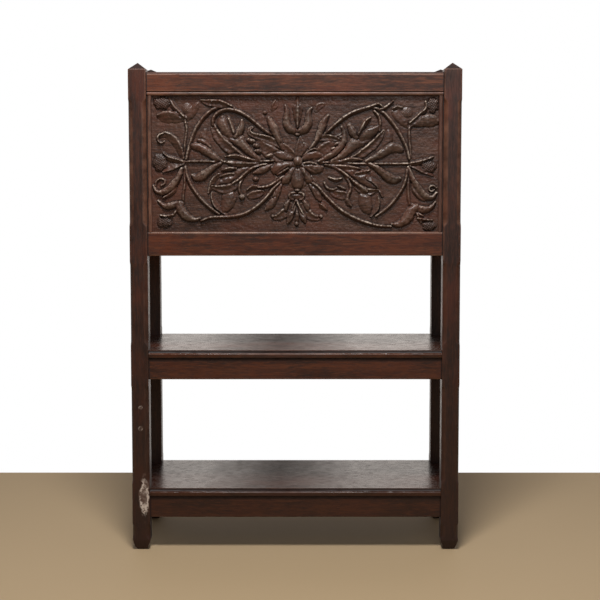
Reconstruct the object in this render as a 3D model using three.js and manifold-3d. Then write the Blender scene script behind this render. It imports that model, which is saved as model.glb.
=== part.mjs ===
// A carved oak magazine stand: four square posts with pyramid tops, an open trough with a carved front
// panel at the top, and two open shelves with moulded edges below it.
// Millimetres. +Z is up, +X is to the right as seen from the front, and the front faces -Y.
// The origin is on the floor, under the middle of the stand.
import * as THREE from 'three';
import { mergeVertices } from 'three/addons/utils/BufferGeometryUtils.js';
import Module from 'manifold-3d';

const wasm = await Module();
wasm.setup();

// Overall sizes
const overallWidth = 565;
const overallDepth = 222;
const overallHeight = 840;

// Posts
const postSide = 30.5;
const pyramidHeight = 11.5;
const pyramidTipSide = 1.2;
const footTaperHeight = 17.5;
const footInset = 6;
const postChamferLeg = 5.5;
const postChamferStop = 9;
const postChamferStand = 8;

// Heights of the rails and shelves. The trough is set from the top, the shelves from the floor.
const postHeadRise = 15.7;
const topRailHeight = 39.8;
const railTopsApart = 271.1;
const bottomRailHeight = 40.8;
const upperShelfTop = 349.5;
const lowerShelfTop = 107.8;
const shelfThickness = 13.5;
const shelfRailHeight = 37;

// Rails, and the joints that hold them in the posts
const railSetback = 5;
const tenonThickness = 7;
const tenonShoulder = 6.5;
const tenonEdge = 8;
const mortiseWeb = 2.5;
const fitGap = 0.3;
const topMouldRadius = 3.2;
const topMouldLedge = 0.7;
const sightBevel = 1.6;
const railBeadWidth = 6;
const quirkWidth = 1.4;
const quirkDepth = 1.8;

// Panels, their grooves and the beads beside the carved one
const panelGroove = 6;
const panelExpansion = 0.6;
const sideBeadWidth = 8;
const reliefHeight = 5.8;
const carvingAxisShare = 0.01;
const carvingMargin = 0.6;

// Floor of the trough
const floorThickness = 8;
const floorLift = 12;
const floorGroove = 5.5;

// Moulded edges of the shelves
const nosingSetback = 2;
const nosingLedge = 1.1;
const nosingRadius = 4.4;
const nosingUnderRound = 2;

// How finely rounds are cut, and how far cutters run past what they cut
const roundSteps = 5;
const budSides = 8;
const budBands = 6;
const overrun = 4;
const weldDistance = 0.0002;
const quarterTurn = Math.PI / 2;

// Values worked out from the sizes above
const halfWidth = overallWidth / 2;
const halfDepth = overallDepth / 2;
const squareTop = overallHeight - pyramidHeight;
const railThickness = tenonThickness + 2 * tenonShoulder;
const tenonLength = postSide - railSetback - tenonShoulder - tenonThickness - mortiseWeb;
const innerX = halfWidth - postSide;
const innerY = halfDepth - postSide;
const topRailTop = overallHeight - postHeadRise;
const topRailBottom = topRailTop - topRailHeight;
const bottomRailTop = topRailTop - railTopsApart;
const bottomRailBottom = bottomRailTop - bottomRailHeight;
const upperRailTop = upperShelfTop - shelfThickness;
const lowerRailTop = lowerShelfTop - shelfThickness;
const upperRailBottom = upperRailTop - shelfRailHeight;
const lowerRailBottom = lowerRailTop - shelfRailHeight;
const panelReach = panelGroove - panelExpansion;
const sightHeight = topRailBottom - bottomRailTop;
const sightMiddle = (topRailBottom + bottomRailTop) / 2;

// Oak finishes, darkest on the posts
const finishes = {
  post: { color: 0x3a2720, roughness: 0.42, metalness: 0 },
  rail: { color: 0x4b2f27, roughness: 0.4, metalness: 0 },
  carving: { color: 0x513930, roughness: 0.45, metalness: 0 },
  board: { color: 0x4a332b, roughness: 0.38, metalness: 0 },
  inside: { color: 0x5a4436, roughness: 0.7, metalness: 0 },
};

const stand = new THREE.Group();

// Adds one named piece to a group, at its place in that group.
function addPiece(parent, name, geometry, finish, place) {
  geometry.computeVertexNormals();
  const mesh = new THREE.Mesh(geometry, new THREE.MeshStandardMaterial(finishes[finish]));
  mesh.name = name;
  mesh.position.set(...place);
  parent.add(mesh);
}

// A closed geometry as a solid that can be joined and cut.
function toSolid(geometry) {
  const flat = geometry.index ? geometry.toNonIndexed() : geometry;
  const bare = new THREE.BufferGeometry();
  bare.setAttribute('position', flat.getAttribute('position'));
  const merged = mergeVertices(bare, weldDistance);
  return new wasm.Manifold(
    new wasm.Mesh({
      numProp: 3,
      vertProperties: merged.getAttribute('position').array,
      triVerts: new Uint32Array(merged.index.array),
    }),
  );
}

function toGeometry(solid) {
  const mesh = solid.getMesh();
  const geometry = new THREE.BufferGeometry();
  geometry.setAttribute('position', new THREE.BufferAttribute(mesh.vertProperties, mesh.numProp));
  geometry.setIndex(new THREE.BufferAttribute(mesh.triVerts, 1));
  return geometry.toNonIndexed();
}

function join(solids) {
  return solids.reduce((whole, solid) => whole.add(solid));
}

function cutAll(solid, cutters) {
  return cutters.reduce((whole, cutter) => whole.subtract(cutter), solid);
}

// A rectangular block, given as the two ends of its stretch along X, Y and Z, in either order.
function block(...spans) {
  const size = spans.map(([from, to]) => Math.abs(to - from));
  const middle = spans.map(([from, to]) => (from + to) / 2);
  return toSolid(new THREE.BoxGeometry(...size).translate(...middle));
}

// A closed solid through rings of points. Each ring turns anticlockwise as seen from the last ring.
function loft(rings) {
  const count = rings[0].length;
  const positions = rings.flat().flat();
  const faces = [];
  for (let ring = 0; ring + 1 < rings.length; ring += 1) {
    for (let point = 0; point < count; point += 1) {
      const next = (point + 1) % count;
      const a = ring * count + point;
      const b = ring * count + next;
      faces.push(a, b, b + count);
      faces.push(a, b + count, a + count);
    }
  }
  const last = (rings.length - 1) * count;
  for (let point = 1; point + 1 < count; point += 1) {
    faces.push(0, point + 1, point);
    faces.push(last, last + point, last + point + 1);
  }
  const geometry = new THREE.BufferGeometry();
  geometry.setAttribute('position', new THREE.Float32BufferAttribute(positions, 3));
  geometry.setIndex(faces);
  return toSolid(geometry);
}

function rectangleRing(halfX, halfY, z) {
  return [
    [-halfX, -halfY, z],
    [halfX, -halfY, z],
    [halfX, halfY, z],
    [-halfX, halfY, z],
  ];
}

// The stretches of a post that are chamfered: they stand clear of every rail and shelf.
const chamferRuns = [
  [footTaperHeight, lowerRailBottom - postChamferStand],
  [lowerShelfTop + postChamferStand, upperRailBottom - postChamferStand],
  [upperShelfTop + postChamferStand, bottomRailBottom - postChamferStand],
  [bottomRailTop + postChamferStand, topRailBottom - postChamferStand / 2],
];

// Takes off one upright corner of a post between two heights, running out in a slope at each end.
function chamferCutter(cornerX, cornerY, inX, inY, [bottom, top]) {
  const reach = postChamferLeg + overrun;
  const full = postChamferLeg / 2;
  const stops = [
    [bottom, 0],
    [bottom + postChamferStop, full],
    [top - postChamferStop, full],
    [top, 0],
  ];
  const rings = stops.map(([z, depth]) => {
    const near = [cornerX + inX * depth, cornerY + inY * depth];
    const far = [cornerX - inX * overrun, cornerY - inY * overrun];
    const side = [inY * reach, -inX * reach];
    return [
      [near[0] + side[0], near[1] + side[1], z],
      [near[0] - side[0], near[1] - side[1], z],
      [far[0] - side[0], far[1] - side[1], z],
      [far[0] + side[0], far[1] + side[1], z],
    ];
  });
  return loft(rings);
}

// A mortise for a rail's tenon, or a panel's groove, sunk into one inner face of a post. alongX tells
// the rails of the front and back from those of the ends.
function postSocket(sideX, sideY, alongX, depth, bottom, top) {
  const half = postSide / 2;
  const outerCheek = half - railSetback - tenonShoulder + fitGap;
  const innerCheek = half - railSetback - tenonShoulder - tenonThickness - fitGap;
  const sunk = [-half - overrun, depth - half];
  const across = [outerCheek, innerCheek];
  const spanX = (alongX ? sunk : across).map((value) => sideX * value);
  const spanY = (alongX ? across : sunk).map((value) => sideY * value);
  return block(spanX, spanY, [bottom, top]);
}

const railHeights = [
  [topRailBottom, topRailTop],
  [bottomRailBottom, bottomRailTop],
  [upperRailBottom, upperRailTop],
  [lowerRailBottom, lowerRailTop],
];

// One post, about its own middle line. sideX and sideY are -1 or 1 and say at which corner of the stand
// it stands. All four are cut alike, so the back pair turns its chamfered face to the back.
function makePost(sideX, sideY) {
  const half = postSide / 2;
  const body = loft([
    rectangleRing(half - footInset, half - footInset, 0),
    rectangleRing(half, half, footTaperHeight),
    rectangleRing(half, half, squareTop),
    rectangleRing(pyramidTipSide / 2, pyramidTipSide / 2, overallHeight),
  ]);
  const cutters = [];
  for (const run of chamferRuns) {
    cutters.push(chamferCutter(-half, sideY * half, 1, -sideY, run));
    cutters.push(chamferCutter(half, sideY * half, -1, -sideY, run));
  }
  for (const alongX of [true, false]) {
    for (const [bottom, top] of railHeights) {
      const low = bottom + tenonEdge - fitGap;
      const high = top - tenonEdge + fitGap;
      cutters.push(postSocket(sideX, sideY, alongX, tenonLength + fitGap, low, high));
    }
    const [grooveLow, grooveHigh] = [bottomRailTop - tenonEdge, topRailBottom + tenonEdge];
    cutters.push(postSocket(sideX, sideY, alongX, panelGroove, grooveLow, grooveHigh));
  }
  return cutAll(body, cutters);
}

for (const [sideY, depthName] of [[-1, 'front'], [1, 'back']]) {
  for (const [sideX, widthName] of [[-1, 'left'], [1, 'right']]) {
    const place = [sideX * (halfWidth - postSide / 2), sideY * (halfDepth - postSide / 2), 0];
    addPiece(stand, `post_${depthName}_${widthName}`, toGeometry(makePost(sideX, sideY)), 'post', place);
  }
}

// The end outline of a rail: the first number runs from its outer face inwards, the second up from its foot.
// A top rail has a rounded upper edge over a small ledge, and a bead with a quirk along its foot.
function railOutline(height, { topMould = false, topBevel = false, footBead = false, panelAbove = false,
  panelBelow = false, floorSlot = false }) {
  const outline = new THREE.Shape();
  const panelFront = tenonShoulder - fitGap / 2;
  const panelBack = tenonShoulder + tenonThickness + fitGap / 2;
  outline.moveTo(railThickness, 0);
  if (floorSlot) {
    const slotBottom = floorLift - fitGap / 2;
    const slotTop = floorLift + floorThickness + fitGap / 2;
    outline.lineTo(railThickness, slotBottom);
    outline.lineTo(railThickness - floorGroove, slotBottom);
    outline.lineTo(railThickness - floorGroove, slotTop);
    outline.lineTo(railThickness, slotTop);
  }
  outline.lineTo(railThickness, height);
  if (panelAbove) {
    outline.lineTo(panelBack, height);
    outline.lineTo(panelBack, height - panelGroove);
    outline.lineTo(panelFront, height - panelGroove);
    outline.lineTo(panelFront, height);
  }
  if (topMould) {
    const ledge = height - topMouldRadius;
    outline.lineTo(topMouldLedge + topMouldRadius, height);
    for (let step = 1; step <= roundSteps; step += 1) {
      const turn = quarterTurn * (step / roundSteps);
      const across = topMouldLedge + topMouldRadius * (1 - Math.sin(turn));
      outline.lineTo(across, ledge + topMouldRadius * Math.cos(turn));
    }
    outline.lineTo(0, ledge);
  } else if (topBevel) {
    outline.lineTo(sightBevel, height);
    outline.lineTo(0, height - sightBevel);
  } else {
    outline.lineTo(0, height);
  }
  if (footBead) {
    const beadRadius = railBeadWidth / 2;
    outline.lineTo(0, railBeadWidth + quirkWidth);
    outline.lineTo(quirkDepth, railBeadWidth + quirkWidth);
    outline.lineTo(quirkDepth, railBeadWidth);
    for (let step = 0; step <= 2 * roundSteps; step += 1) {
      const turn = Math.PI * (step / (2 * roundSteps));
      const rise = beadRadius * (1 + Math.cos(turn));
      outline.lineTo(quirkDepth * (1 - Math.sin(turn)), rise);
    }
  } else {
    outline.lineTo(0, 0);
  }
  if (panelBelow) {
    outline.lineTo(panelFront, 0);
    outline.lineTo(panelFront, panelGroove);
    outline.lineTo(panelBack, panelGroove);
    outline.lineTo(panelBack, 0);
  }
  outline.closePath();
  return outline;
}

// A rail that spans between two posts whose inner faces lie a reach to each side of its middle, with a
// tenon at each end. It runs along X, and the middle of its top outer edge is at the origin.
function makeRail(reach, height, outlineOptions) {
  const halfLength = reach - fitGap;
  const bar = new THREE.ExtrudeGeometry(railOutline(height, outlineOptions), {
    depth: 2 * halfLength,
    bevelEnabled: false,
  });
  // The outline's two axes become inwards and up, and the extrusion runs along the rail.
  const alongX = new THREE.Vector3(1, 0, 0);
  const inwards = new THREE.Vector3(0, 1, 0);
  const up = new THREE.Vector3(0, 0, 1);
  const turned = new THREE.Matrix4().makeBasis(inwards, up, alongX);
  bar.applyMatrix4(turned.setPosition(-halfLength, 0, -height));
  const tenons = [-1, 1].map((end) => block(
    [end * (halfLength - overrun), end * (reach + tenonLength)],
    [tenonShoulder, tenonShoulder + tenonThickness],
    [tenonEdge - height, -tenonEdge],
  ));
  return join([toSolid(bar), ...tenons]);
}

// A plain board, about its own middle, held by its edges in the grooves of two posts and two rails.
function panelBoard(reach) {
  const width = 2 * (reach + panelReach);
  const height = sightHeight + 2 * panelReach;
  return new THREE.BoxGeometry(width, tenonThickness, height);
}

// Each side of the stand is a group that is turned to its side. In the group's own axes the side's
// outer face looks towards -Y, and its distance from the middle is half the stand's depth or width.
const sides = [
  { name: 'front', turn: 0, reach: innerX, distance: halfDepth, shown: true },
  { name: 'back', turn: 2 * quarterTurn, reach: innerX, distance: halfDepth, shown: false, panel: 'inside' },
  { name: 'left', turn: -quarterTurn, reach: innerY, distance: halfWidth, shown: true, panel: 'board' },
  { name: 'right', turn: quarterTurn, reach: innerY, distance: halfWidth, shown: true, panel: 'board' },
];

const sideGroups = {};
for (const { name, turn, reach, distance, shown, panel } of sides) {
  const group = new THREE.Group();
  group.rotation.z = turn;
  stand.add(group);
  sideGroups[name] = group;
  const railFace = railSetback - distance;
  const topRail = makeRail(reach, topRailHeight, { topMould: shown, footBead: shown, panelBelow: true });
  addPiece(group, `${name}_top_rail`, toGeometry(topRail), 'rail', [0, railFace, topRailTop]);
  const bottomRail = makeRail(reach, bottomRailHeight, {
    topBevel: shown,
    panelAbove: true,
    floorSlot: true,
  });
  addPiece(group, `${name}_bottom_rail`, toGeometry(bottomRail), 'rail', [0, railFace, bottomRailTop]);
  for (const [shelf, railTop] of [['upper', upperRailTop], ['lower', lowerRailTop]]) {
    const shelfRail = makeRail(reach, shelfRailHeight, {});
    addPiece(group, `${shelf}_shelf_${name}_rail`, toGeometry(shelfRail), 'rail', [0, railFace, railTop]);
  }
  if (panel) {
    const boardMiddle = railFace + tenonShoulder + tenonThickness / 2;
    addPiece(group, `${name}_panel`, panelBoard(reach), panel, [0, boardMiddle, sightMiddle]);
  }
}

// The carving on the front panel is a spray of foliage, the same on both sides of a middle line.
// Places are shares of half the panel's showing width and height, measured from its middle, for the
// left half. Each stem or leaf is a row: half width as a share of half the showing height, height as a
// share of the full relief, and the places that its middle runs through, from its root to its tip.
const stemShares = [
  [0.03, 0.75, [[-0.17, 0.02], [-0.3, 0.035], [-0.48, 0.035], [-0.66, 0.03], [-0.81, 0.03]]],
  [0.03, 0.85, [[-0.765, 0.06], [-0.755, 0.2], [-0.735, 0.36], [-0.705, 0.52], [-0.66, 0.67],
    [-0.61, 0.76], [-0.565, 0.795]]],
  [0.032, 0.9, [[-0.17, 0.4], [-0.215, 0.52], [-0.265, 0.63], [-0.32, 0.725], [-0.385, 0.8],
    [-0.45, 0.825], [-0.51, 0.8], [-0.56, 0.735], [-0.583, 0.65], [-0.575, 0.55]]],
  [0.032, 0.9, [[-0.15, -0.3], [-0.2, -0.42], [-0.25, -0.53], [-0.31, -0.645], [-0.38, -0.725],
    [-0.46, -0.765], [-0.56, -0.765], [-0.645, -0.785]]],
  [0.03, 0.85, [[-0.772, -0.06], [-0.755, -0.2], [-0.73, -0.34], [-0.69, -0.48], [-0.63, -0.615],
    [-0.57, -0.69], [-0.51, -0.74]]],
  [0.022, 0.65, [[-0.775, 0.08], [-0.772, 0.3], [-0.766, 0.5], [-0.774, 0.64]]],
  [0.022, 0.65, [[-0.778, -0.06], [-0.778, -0.3], [-0.785, -0.44], [-0.792, -0.56]]],
  [0.028, 0.85, [[-0.09, -0.22], [-0.14, -0.275], [-0.19, -0.32], [-0.25, -0.345], [-0.32, -0.34]]],
  [0.032, 0.75, [[-0.17, 0.05], [-0.26, 0.065], [-0.32, 0.12], [-0.37, 0.21], [-0.41, 0.31], [-0.44, 0.4]]],
  [0.03, 0.85, [[-0.2, -0.01], [-0.275, -0.035], [-0.325, -0.09], [-0.37, -0.17], [-0.41, -0.25],
    [-0.46, -0.3]]],
];
const leafShares = [
  [0.05, 0.9, [[-0.46, 0.84], [-0.53, 0.85], [-0.6, 0.86], [-0.66, 0.91]]],
  [0.055, 0.85, [[-0.51, 0.24], [-0.555, 0.33], [-0.578, 0.43], [-0.6, 0.53]]],
  [0.07, 0.8, [[-0.43, 0.34], [-0.45, 0.46], [-0.455, 0.57], [-0.455, 0.66]]],
  [0.06, 0.95, [[-0.42, 0.33], [-0.392, 0.44], [-0.37, 0.55], [-0.375, 0.67]]],
  [0.07, 0.65, [[-0.44, 0.33], [-0.49, 0.42], [-0.52, 0.51], [-0.51, 0.61]]],
  [0.075, 0.8, [[-0.11, 0.2], [-0.18, 0.26], [-0.26, 0.3], [-0.34, 0.335]]],
  [0.07, 0.75, [[-0.13, 0.15], [-0.2, 0.175], [-0.29, 0.18]]],
  [0.05, 0.8, [[-0.18, 0.38], [-0.26, 0.385], [-0.32, 0.43], [-0.32, 0.51]]],
  [0.055, 1, [[-0.115, 0.26], [-0.13, 0.4], [-0.14, 0.53], [-0.15, 0.65]]],
  [0.05, 0.9, [[-0.14, 0.36], [-0.165, 0.48], [-0.19, 0.64]]],
  [0.055, 0.95, [[-0.01, 0.42], [-0.04, 0.52], [-0.058, 0.66], [-0.056, 0.84]]],
  [0.06, 0.85, [[-0.02, 0.07], [-0.04, 0.2], [-0.035, 0.34]]],
  [0.065, 0.8, [[-0.03, 0.05], [-0.08, 0.15], [-0.12, 0.22], [-0.125, 0.34]]],
  [0.075, 0.75, [[-0.03, 0.01], [-0.1, 0.06], [-0.2, 0.09]]],
  [0.07, 0.85, [[-0.03, -0.03], [-0.1, -0.05], [-0.17, -0.05]]],
  [0.07, 0.85, [[-0.02, -0.06], [-0.07, -0.12], [-0.13, -0.18]]],
  [0.065, 0.8, [[-0.01, -0.08], [-0.05, -0.18], [-0.09, -0.28]]],
  [0.06, 0.7, [[-0.18, -0.05], [-0.24, -0.085], [-0.31, -0.135]]],
  [0.065, 0.65, [[-0.18, -0.36], [-0.24, -0.42], [-0.3, -0.46], [-0.37, -0.5]]],
  [0.09, 0.75, [[-0.44, -0.4], [-0.45, -0.5], [-0.465, -0.59], [-0.49, -0.68]]],
  [0.045, 0.85, [[-0.6, -0.4], [-0.58, -0.52], [-0.545, -0.62], [-0.49, -0.73]]],
  [0.07, 0.6, [[-0.42, -0.28], [-0.5, -0.32], [-0.58, -0.37]]],
  [0.05, 0.6, [[-0.35, -0.12], [-0.43, -0.1], [-0.54, -0.1]]],
  [0.07, 1, [[-0.53, 0.01], [-0.59, -0.06], [-0.645, -0.14], [-0.71, -0.19]]],
  [0.06, 0.55, [[-0.6, -0.11], [-0.65, -0.19], [-0.7, -0.26]]],
  [0.065, 0.8, [[-0.49, 0.04], [-0.55, 0.13], [-0.62, 0.23], [-0.73, 0.27]]],
  [0.06, 0.8, [[-0.58, 0.19], [-0.62, 0.29], [-0.7, 0.35]]],
  [0.07, 0.55, [[-0.58, 0.25], [-0.61, 0.37], [-0.67, 0.47]]],
  [0.065, 0.6, [[-0.38, 0.12], [-0.44, 0.2], [-0.54, 0.28]]],
  [0.045, 0.9, [[-0.8, 0.035], [-0.86, 0.06], [-0.9, 0.09], [-0.93, 0.15]]],
  [0.055, 0.7, [[-0.8, 0.02], [-0.86, -0.01], [-0.92, -0.05]]],
  [0.065, 0.8, [[-0.785, 0.08], [-0.82, 0.2], [-0.865, 0.3], [-0.92, 0.36], [-0.965, 0.34]]],
  [0.075, 0.6, [[-0.8, 0.08], [-0.85, 0.15], [-0.9, 0.2], [-0.965, 0.21]]],
  [0.05, 0.55, [[-0.85, 0.38], [-0.885, 0.47], [-0.965, 0.52]]],
  [0.045, 0.9, [[-0.79, 0.22], [-0.81, 0.29], [-0.84, 0.36]]],
  [0.045, 0.85, [[-0.86, 0.8], [-0.875, 0.88], [-0.885, 0.97]]],
  [0.07, 0.8, [[-0.775, 0.66], [-0.84, 0.7], [-0.9, 0.69], [-0.97, 0.64]]],
  [0.08, 0.75, [[-0.775, 0.63], [-0.782, 0.76], [-0.785, 0.9]]],
  [0.08, 0.6, [[-0.765, 0.6], [-0.72, 0.7], [-0.68, 0.78], [-0.63, 0.85]]],
  [0.06, 1, [[-0.785, -0.04], [-0.81, -0.16], [-0.84, -0.26], [-0.885, -0.35], [-0.965, -0.42]]],
  [0.1, 0.6, [[-0.8, -0.1], [-0.86, -0.19], [-0.92, -0.24], [-0.97, -0.3]]],
  [0.05, 0.85, [[-0.82, -0.27], [-0.86, -0.4], [-0.93, -0.5]]],
  [0.05, 0.9, [[-0.785, -0.55], [-0.84, -0.58], [-0.9, -0.605], [-0.965, -0.55]]],
  [0.04, 0.75, [[-0.805, -0.59], [-0.83, -0.66], [-0.865, -0.74]]],
  [0.065, 0.8, [[-0.79, -0.52], [-0.787, -0.64], [-0.76, -0.75], [-0.67, -0.81]]],
  [0.04, 0.9, [[-0.04, -0.45], [-0.068, -0.56], [-0.072, -0.69]]],
  [0.05, 0.8, [[-0.01, -0.48], [-0.03, -0.65], [-0.057, -0.88]]],
  [0.055, 0.8, [[-0.06, -0.58], [-0.09, -0.7], [-0.12, -0.78], [-0.18, -0.8]]],
  [0.08, 0.6, [[-0.09, -0.24], [-0.13, -0.38], [-0.145, -0.52], [-0.2, -0.67]]],
];
// Leaves and stems that stand on the middle line, and are not repeated.
const middleShares = [
  [0.035, 0.75, [[0, 0.1], [0, 0.3], [0, 0.43]]],
  [0.07, 0.8, [[0, 0.42], [0, 0.58], [0, 0.72], [0, 0.86]]],
  [0.1, 0.85, [[0, -0.06], [0, -0.2], [0, -0.37]]],
  [0.04, 0.7, [[0, -0.36], [0, -0.55], [0, -0.72], [0, -0.84]]],
];
// Buds and flower heads: place, radius as a share of half the showing height, height share.
const budShares = [
  [-0.955, -0.01, 0.1, 0.75],
  [-0.93, 0.9, 0.09, 0.75],
  [-0.915, -0.83, 0.09, 0.65],
  [-0.275, -0.235, 0.045, 0.85],
  [-0.375, -0.48, 0.045, 0.85],
  [-0.325, -0.35, 0.05, 0.85],
  [-0.212, 0.745, 0.035, 0.8],
];
const middleBudShares = [
  [0, 0, 0.08, 1],
  [0, 0.415, 0.04, 0.9],
  [0, -0.385, 0.04, 0.9],
  [0, -0.88, 0.04, 0.7],
];

const sightHalfWidth = innerX - sideBeadWidth;
const sightHalfHeight = sightHeight / 2;
const groundY = -tenonThickness / 2;
const carvingAxisX = carvingAxisShare * sightHalfWidth;

// The width and height of a stem or leaf along its length, as shares of its fullest.
const stemWidthShare = (along) => 1 - along / 4;
const leafWidthShare = (along) => Math.sqrt(Math.sin(Math.PI * (1 + 8 * along) / 10));
const stemHeightShare = (along) => 1 - along / 5;
const leafHeightShare = (along) => (3 + 2 * Math.sin(Math.PI * along)) / 5;
// The arched section of a stem or leaf: place across as a share of its half width, and height share.
const archShares = [[1, 0], [0.8, 0.62], [0, 1], [-0.8, 0.62], [-1, 0]];

// Where a pair of shares lies across and up the panel. mirror is 1 for the left half, -1 for the
// right half, and 0 for a piece that stands on the middle line itself.
function carvingPoint(u, v, mirror) {
  return [carvingAxisX + mirror * (u - carvingAxisShare) * sightHalfWidth, v * sightHalfHeight];
}

// One stem or leaf as a solid that stands on the ground of the panel and reaches to the board's middle.
function makeBlade([widthShare, heightShare, places], widthAlong, heightAlong, mirror) {
  const points = places.map(([u, v]) => carvingPoint(u, v, mirror));
  const rings = points.map((point, index) => {
    const before = points[Math.max(index - 1, 0)];
    const after = points[Math.min(index + 1, points.length - 1)];
    const run = Math.hypot(after[0] - before[0], after[1] - before[1]);
    const normal = [(before[1] - after[1]) / run, (after[0] - before[0]) / run];
    const along = index / (points.length - 1);
    const half = widthShare * sightHalfHeight * widthAlong(along);
    const rise = heightShare * reliefHeight * heightAlong(along);
    return archShares.map(([across, up]) => [
      point[0] + normal[0] * half * across,
      up > 0 ? groundY - rise * up : 0,
      point[1] + normal[1] * half * across,
    ]);
  });
  return loft(rings);
}

function makeBud([u, v, radiusShare, heightShare], mirror) {
  const radius = radiusShare * sightHalfHeight;
  const [x, z] = carvingPoint(u, v, mirror);
  const dome = new THREE.SphereGeometry(1, budSides, budBands);
  dome.scale(radius, heightShare * reliefHeight, radius);
  dome.translate(x, groundY, z);
  return toSolid(dome);
}

const carving = [];
for (const mirror of [1, -1]) {
  for (const row of stemShares) {
    carving.push(makeBlade(row, stemWidthShare, stemHeightShare, mirror));
  }
  for (const row of leafShares) {
    carving.push(makeBlade(row, leafWidthShare, leafHeightShare, mirror));
  }
  for (const row of budShares) {
    carving.push(makeBud(row, mirror));
  }
}
for (const row of middleShares) {
  carving.push(makeBlade(row, leafWidthShare, leafHeightShare, 0));
}
for (const row of middleBudShares) {
  carving.push(makeBud(row, 0));
}
const carvingHalfWidth = sightHalfWidth - carvingMargin;
const carvingHalfHeight = sightHalfHeight - carvingMargin;
const foliage = join(carving).intersect(block(
  [-carvingHalfWidth, carvingHalfWidth],
  [groundY - reliefHeight - overrun, 0],
  [-carvingHalfHeight, carvingHalfHeight],
));
const carvedPanel = toSolid(panelBoard(innerX)).add(foliage);
const frontRailFace = railSetback - halfDepth;
const carvedPlace = [0, frontRailFace + tenonShoulder + tenonThickness / 2, sightMiddle];
addPiece(sideGroups.front, 'carved_panel', toGeometry(carvedPanel), 'carving', carvedPlace);

// An upright bead beside the carved panel: a quirk against the post, then a round bead. Its outer
// corner is at the origin, and towards is 1 or -1: which way along X the panel lies from it.
function makeSideBead(towards) {
  const innerFace = tenonShoulder - fitGap;
  const beadRadius = (sideBeadWidth - quirkWidth) / 2;
  const outline = new THREE.Shape();
  outline.moveTo(0, innerFace);
  outline.lineTo(0, quirkDepth);
  outline.lineTo(towards * quirkWidth, quirkDepth);
  for (let step = 1; step <= 2 * roundSteps; step += 1) {
    const turn = Math.PI * (step / (2 * roundSteps));
    const across = quirkWidth + beadRadius * (1 - Math.cos(turn));
    outline.lineTo(towards * across, quirkDepth * (1 - Math.sin(turn)));
  }
  outline.lineTo(towards * sideBeadWidth, innerFace);
  outline.closePath();
  return new THREE.ExtrudeGeometry(outline, { depth: sightHeight - fitGap, bevelEnabled: false });
}

for (const [name, towards] of [['left', 1], ['right', -1]]) {
  const place = [-towards * (innerX - fitGap), frontRailFace, bottomRailTop];
  addPiece(sideGroups.front, `panel_bead_${name}`, makeSideBead(towards), 'rail', place);
}

// Blocks at the four posts, a little larger than them, that notch the corners of a board whose
// underside is at height 0.
function cornerNotches(thickness) {
  const notches = [];
  for (const sideX of [-1, 1]) {
    for (const sideY of [-1, 1]) {
      notches.push(block(
        [sideX * (innerX - fitGap), sideX * (halfWidth + overrun)],
        [sideY * (innerY - fitGap), sideY * (halfDepth + overrun)],
        [-overrun, thickness + overrun],
      ));
    }
  }
  return notches;
}

// The floor of the trough, held in the slots of the four bottom rails.
const floorInset = railSetback + railThickness - floorGroove + fitGap;
const floorHalfX = halfWidth - floorInset;
const floorHalfY = halfDepth - floorInset;
const floorBoard = block([-floorHalfX, floorHalfX], [-floorHalfY, floorHalfY], [0, floorThickness]);
const floor = cutAll(floorBoard, cornerNotches(floorThickness));
addPiece(stand, 'trough_floor', toGeometry(floor), 'inside', [0, 0, bottomRailBottom + floorLift]);

// A shelf lies on its four rails, notched round the posts. Its edge is rounded below, upright, and then
// steps in by a small ledge to a quarter round that meets the top.
function makeShelf() {
  const edge = [];
  for (let step = 0; step <= roundSteps; step += 1) {
    const turn = quarterTurn * (step / roundSteps);
    edge.push([nosingUnderRound * (1 - Math.sin(turn)), nosingUnderRound * (1 - Math.cos(turn))]);
  }
  edge.push([0, shelfThickness - nosingRadius]);
  for (let step = 0; step <= roundSteps; step += 1) {
    const turn = quarterTurn * (step / roundSteps);
    const inset = nosingLedge + nosingRadius * (1 - Math.cos(turn));
    edge.push([inset, shelfThickness - nosingRadius * (1 - Math.sin(turn))]);
  }
  const reachX = halfWidth - nosingSetback;
  const reachY = halfDepth - nosingSetback;
  const board = loft(edge.map(([inset, z]) => rectangleRing(reachX - inset, reachY - inset, z)));
  return cutAll(board, cornerNotches(shelfThickness));
}

for (const [name, railTop] of [['upper_shelf', upperRailTop], ['lower_shelf', lowerRailTop]]) {
  addPiece(stand, name, toGeometry(makeShelf()), 'board', [0, 0, railTop]);
}

export default stand;
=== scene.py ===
from math import cos, pi, radians, sin, sqrt

import bmesh
import bpy
import numpy as np
from mathutils import Matrix, Vector


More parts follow.
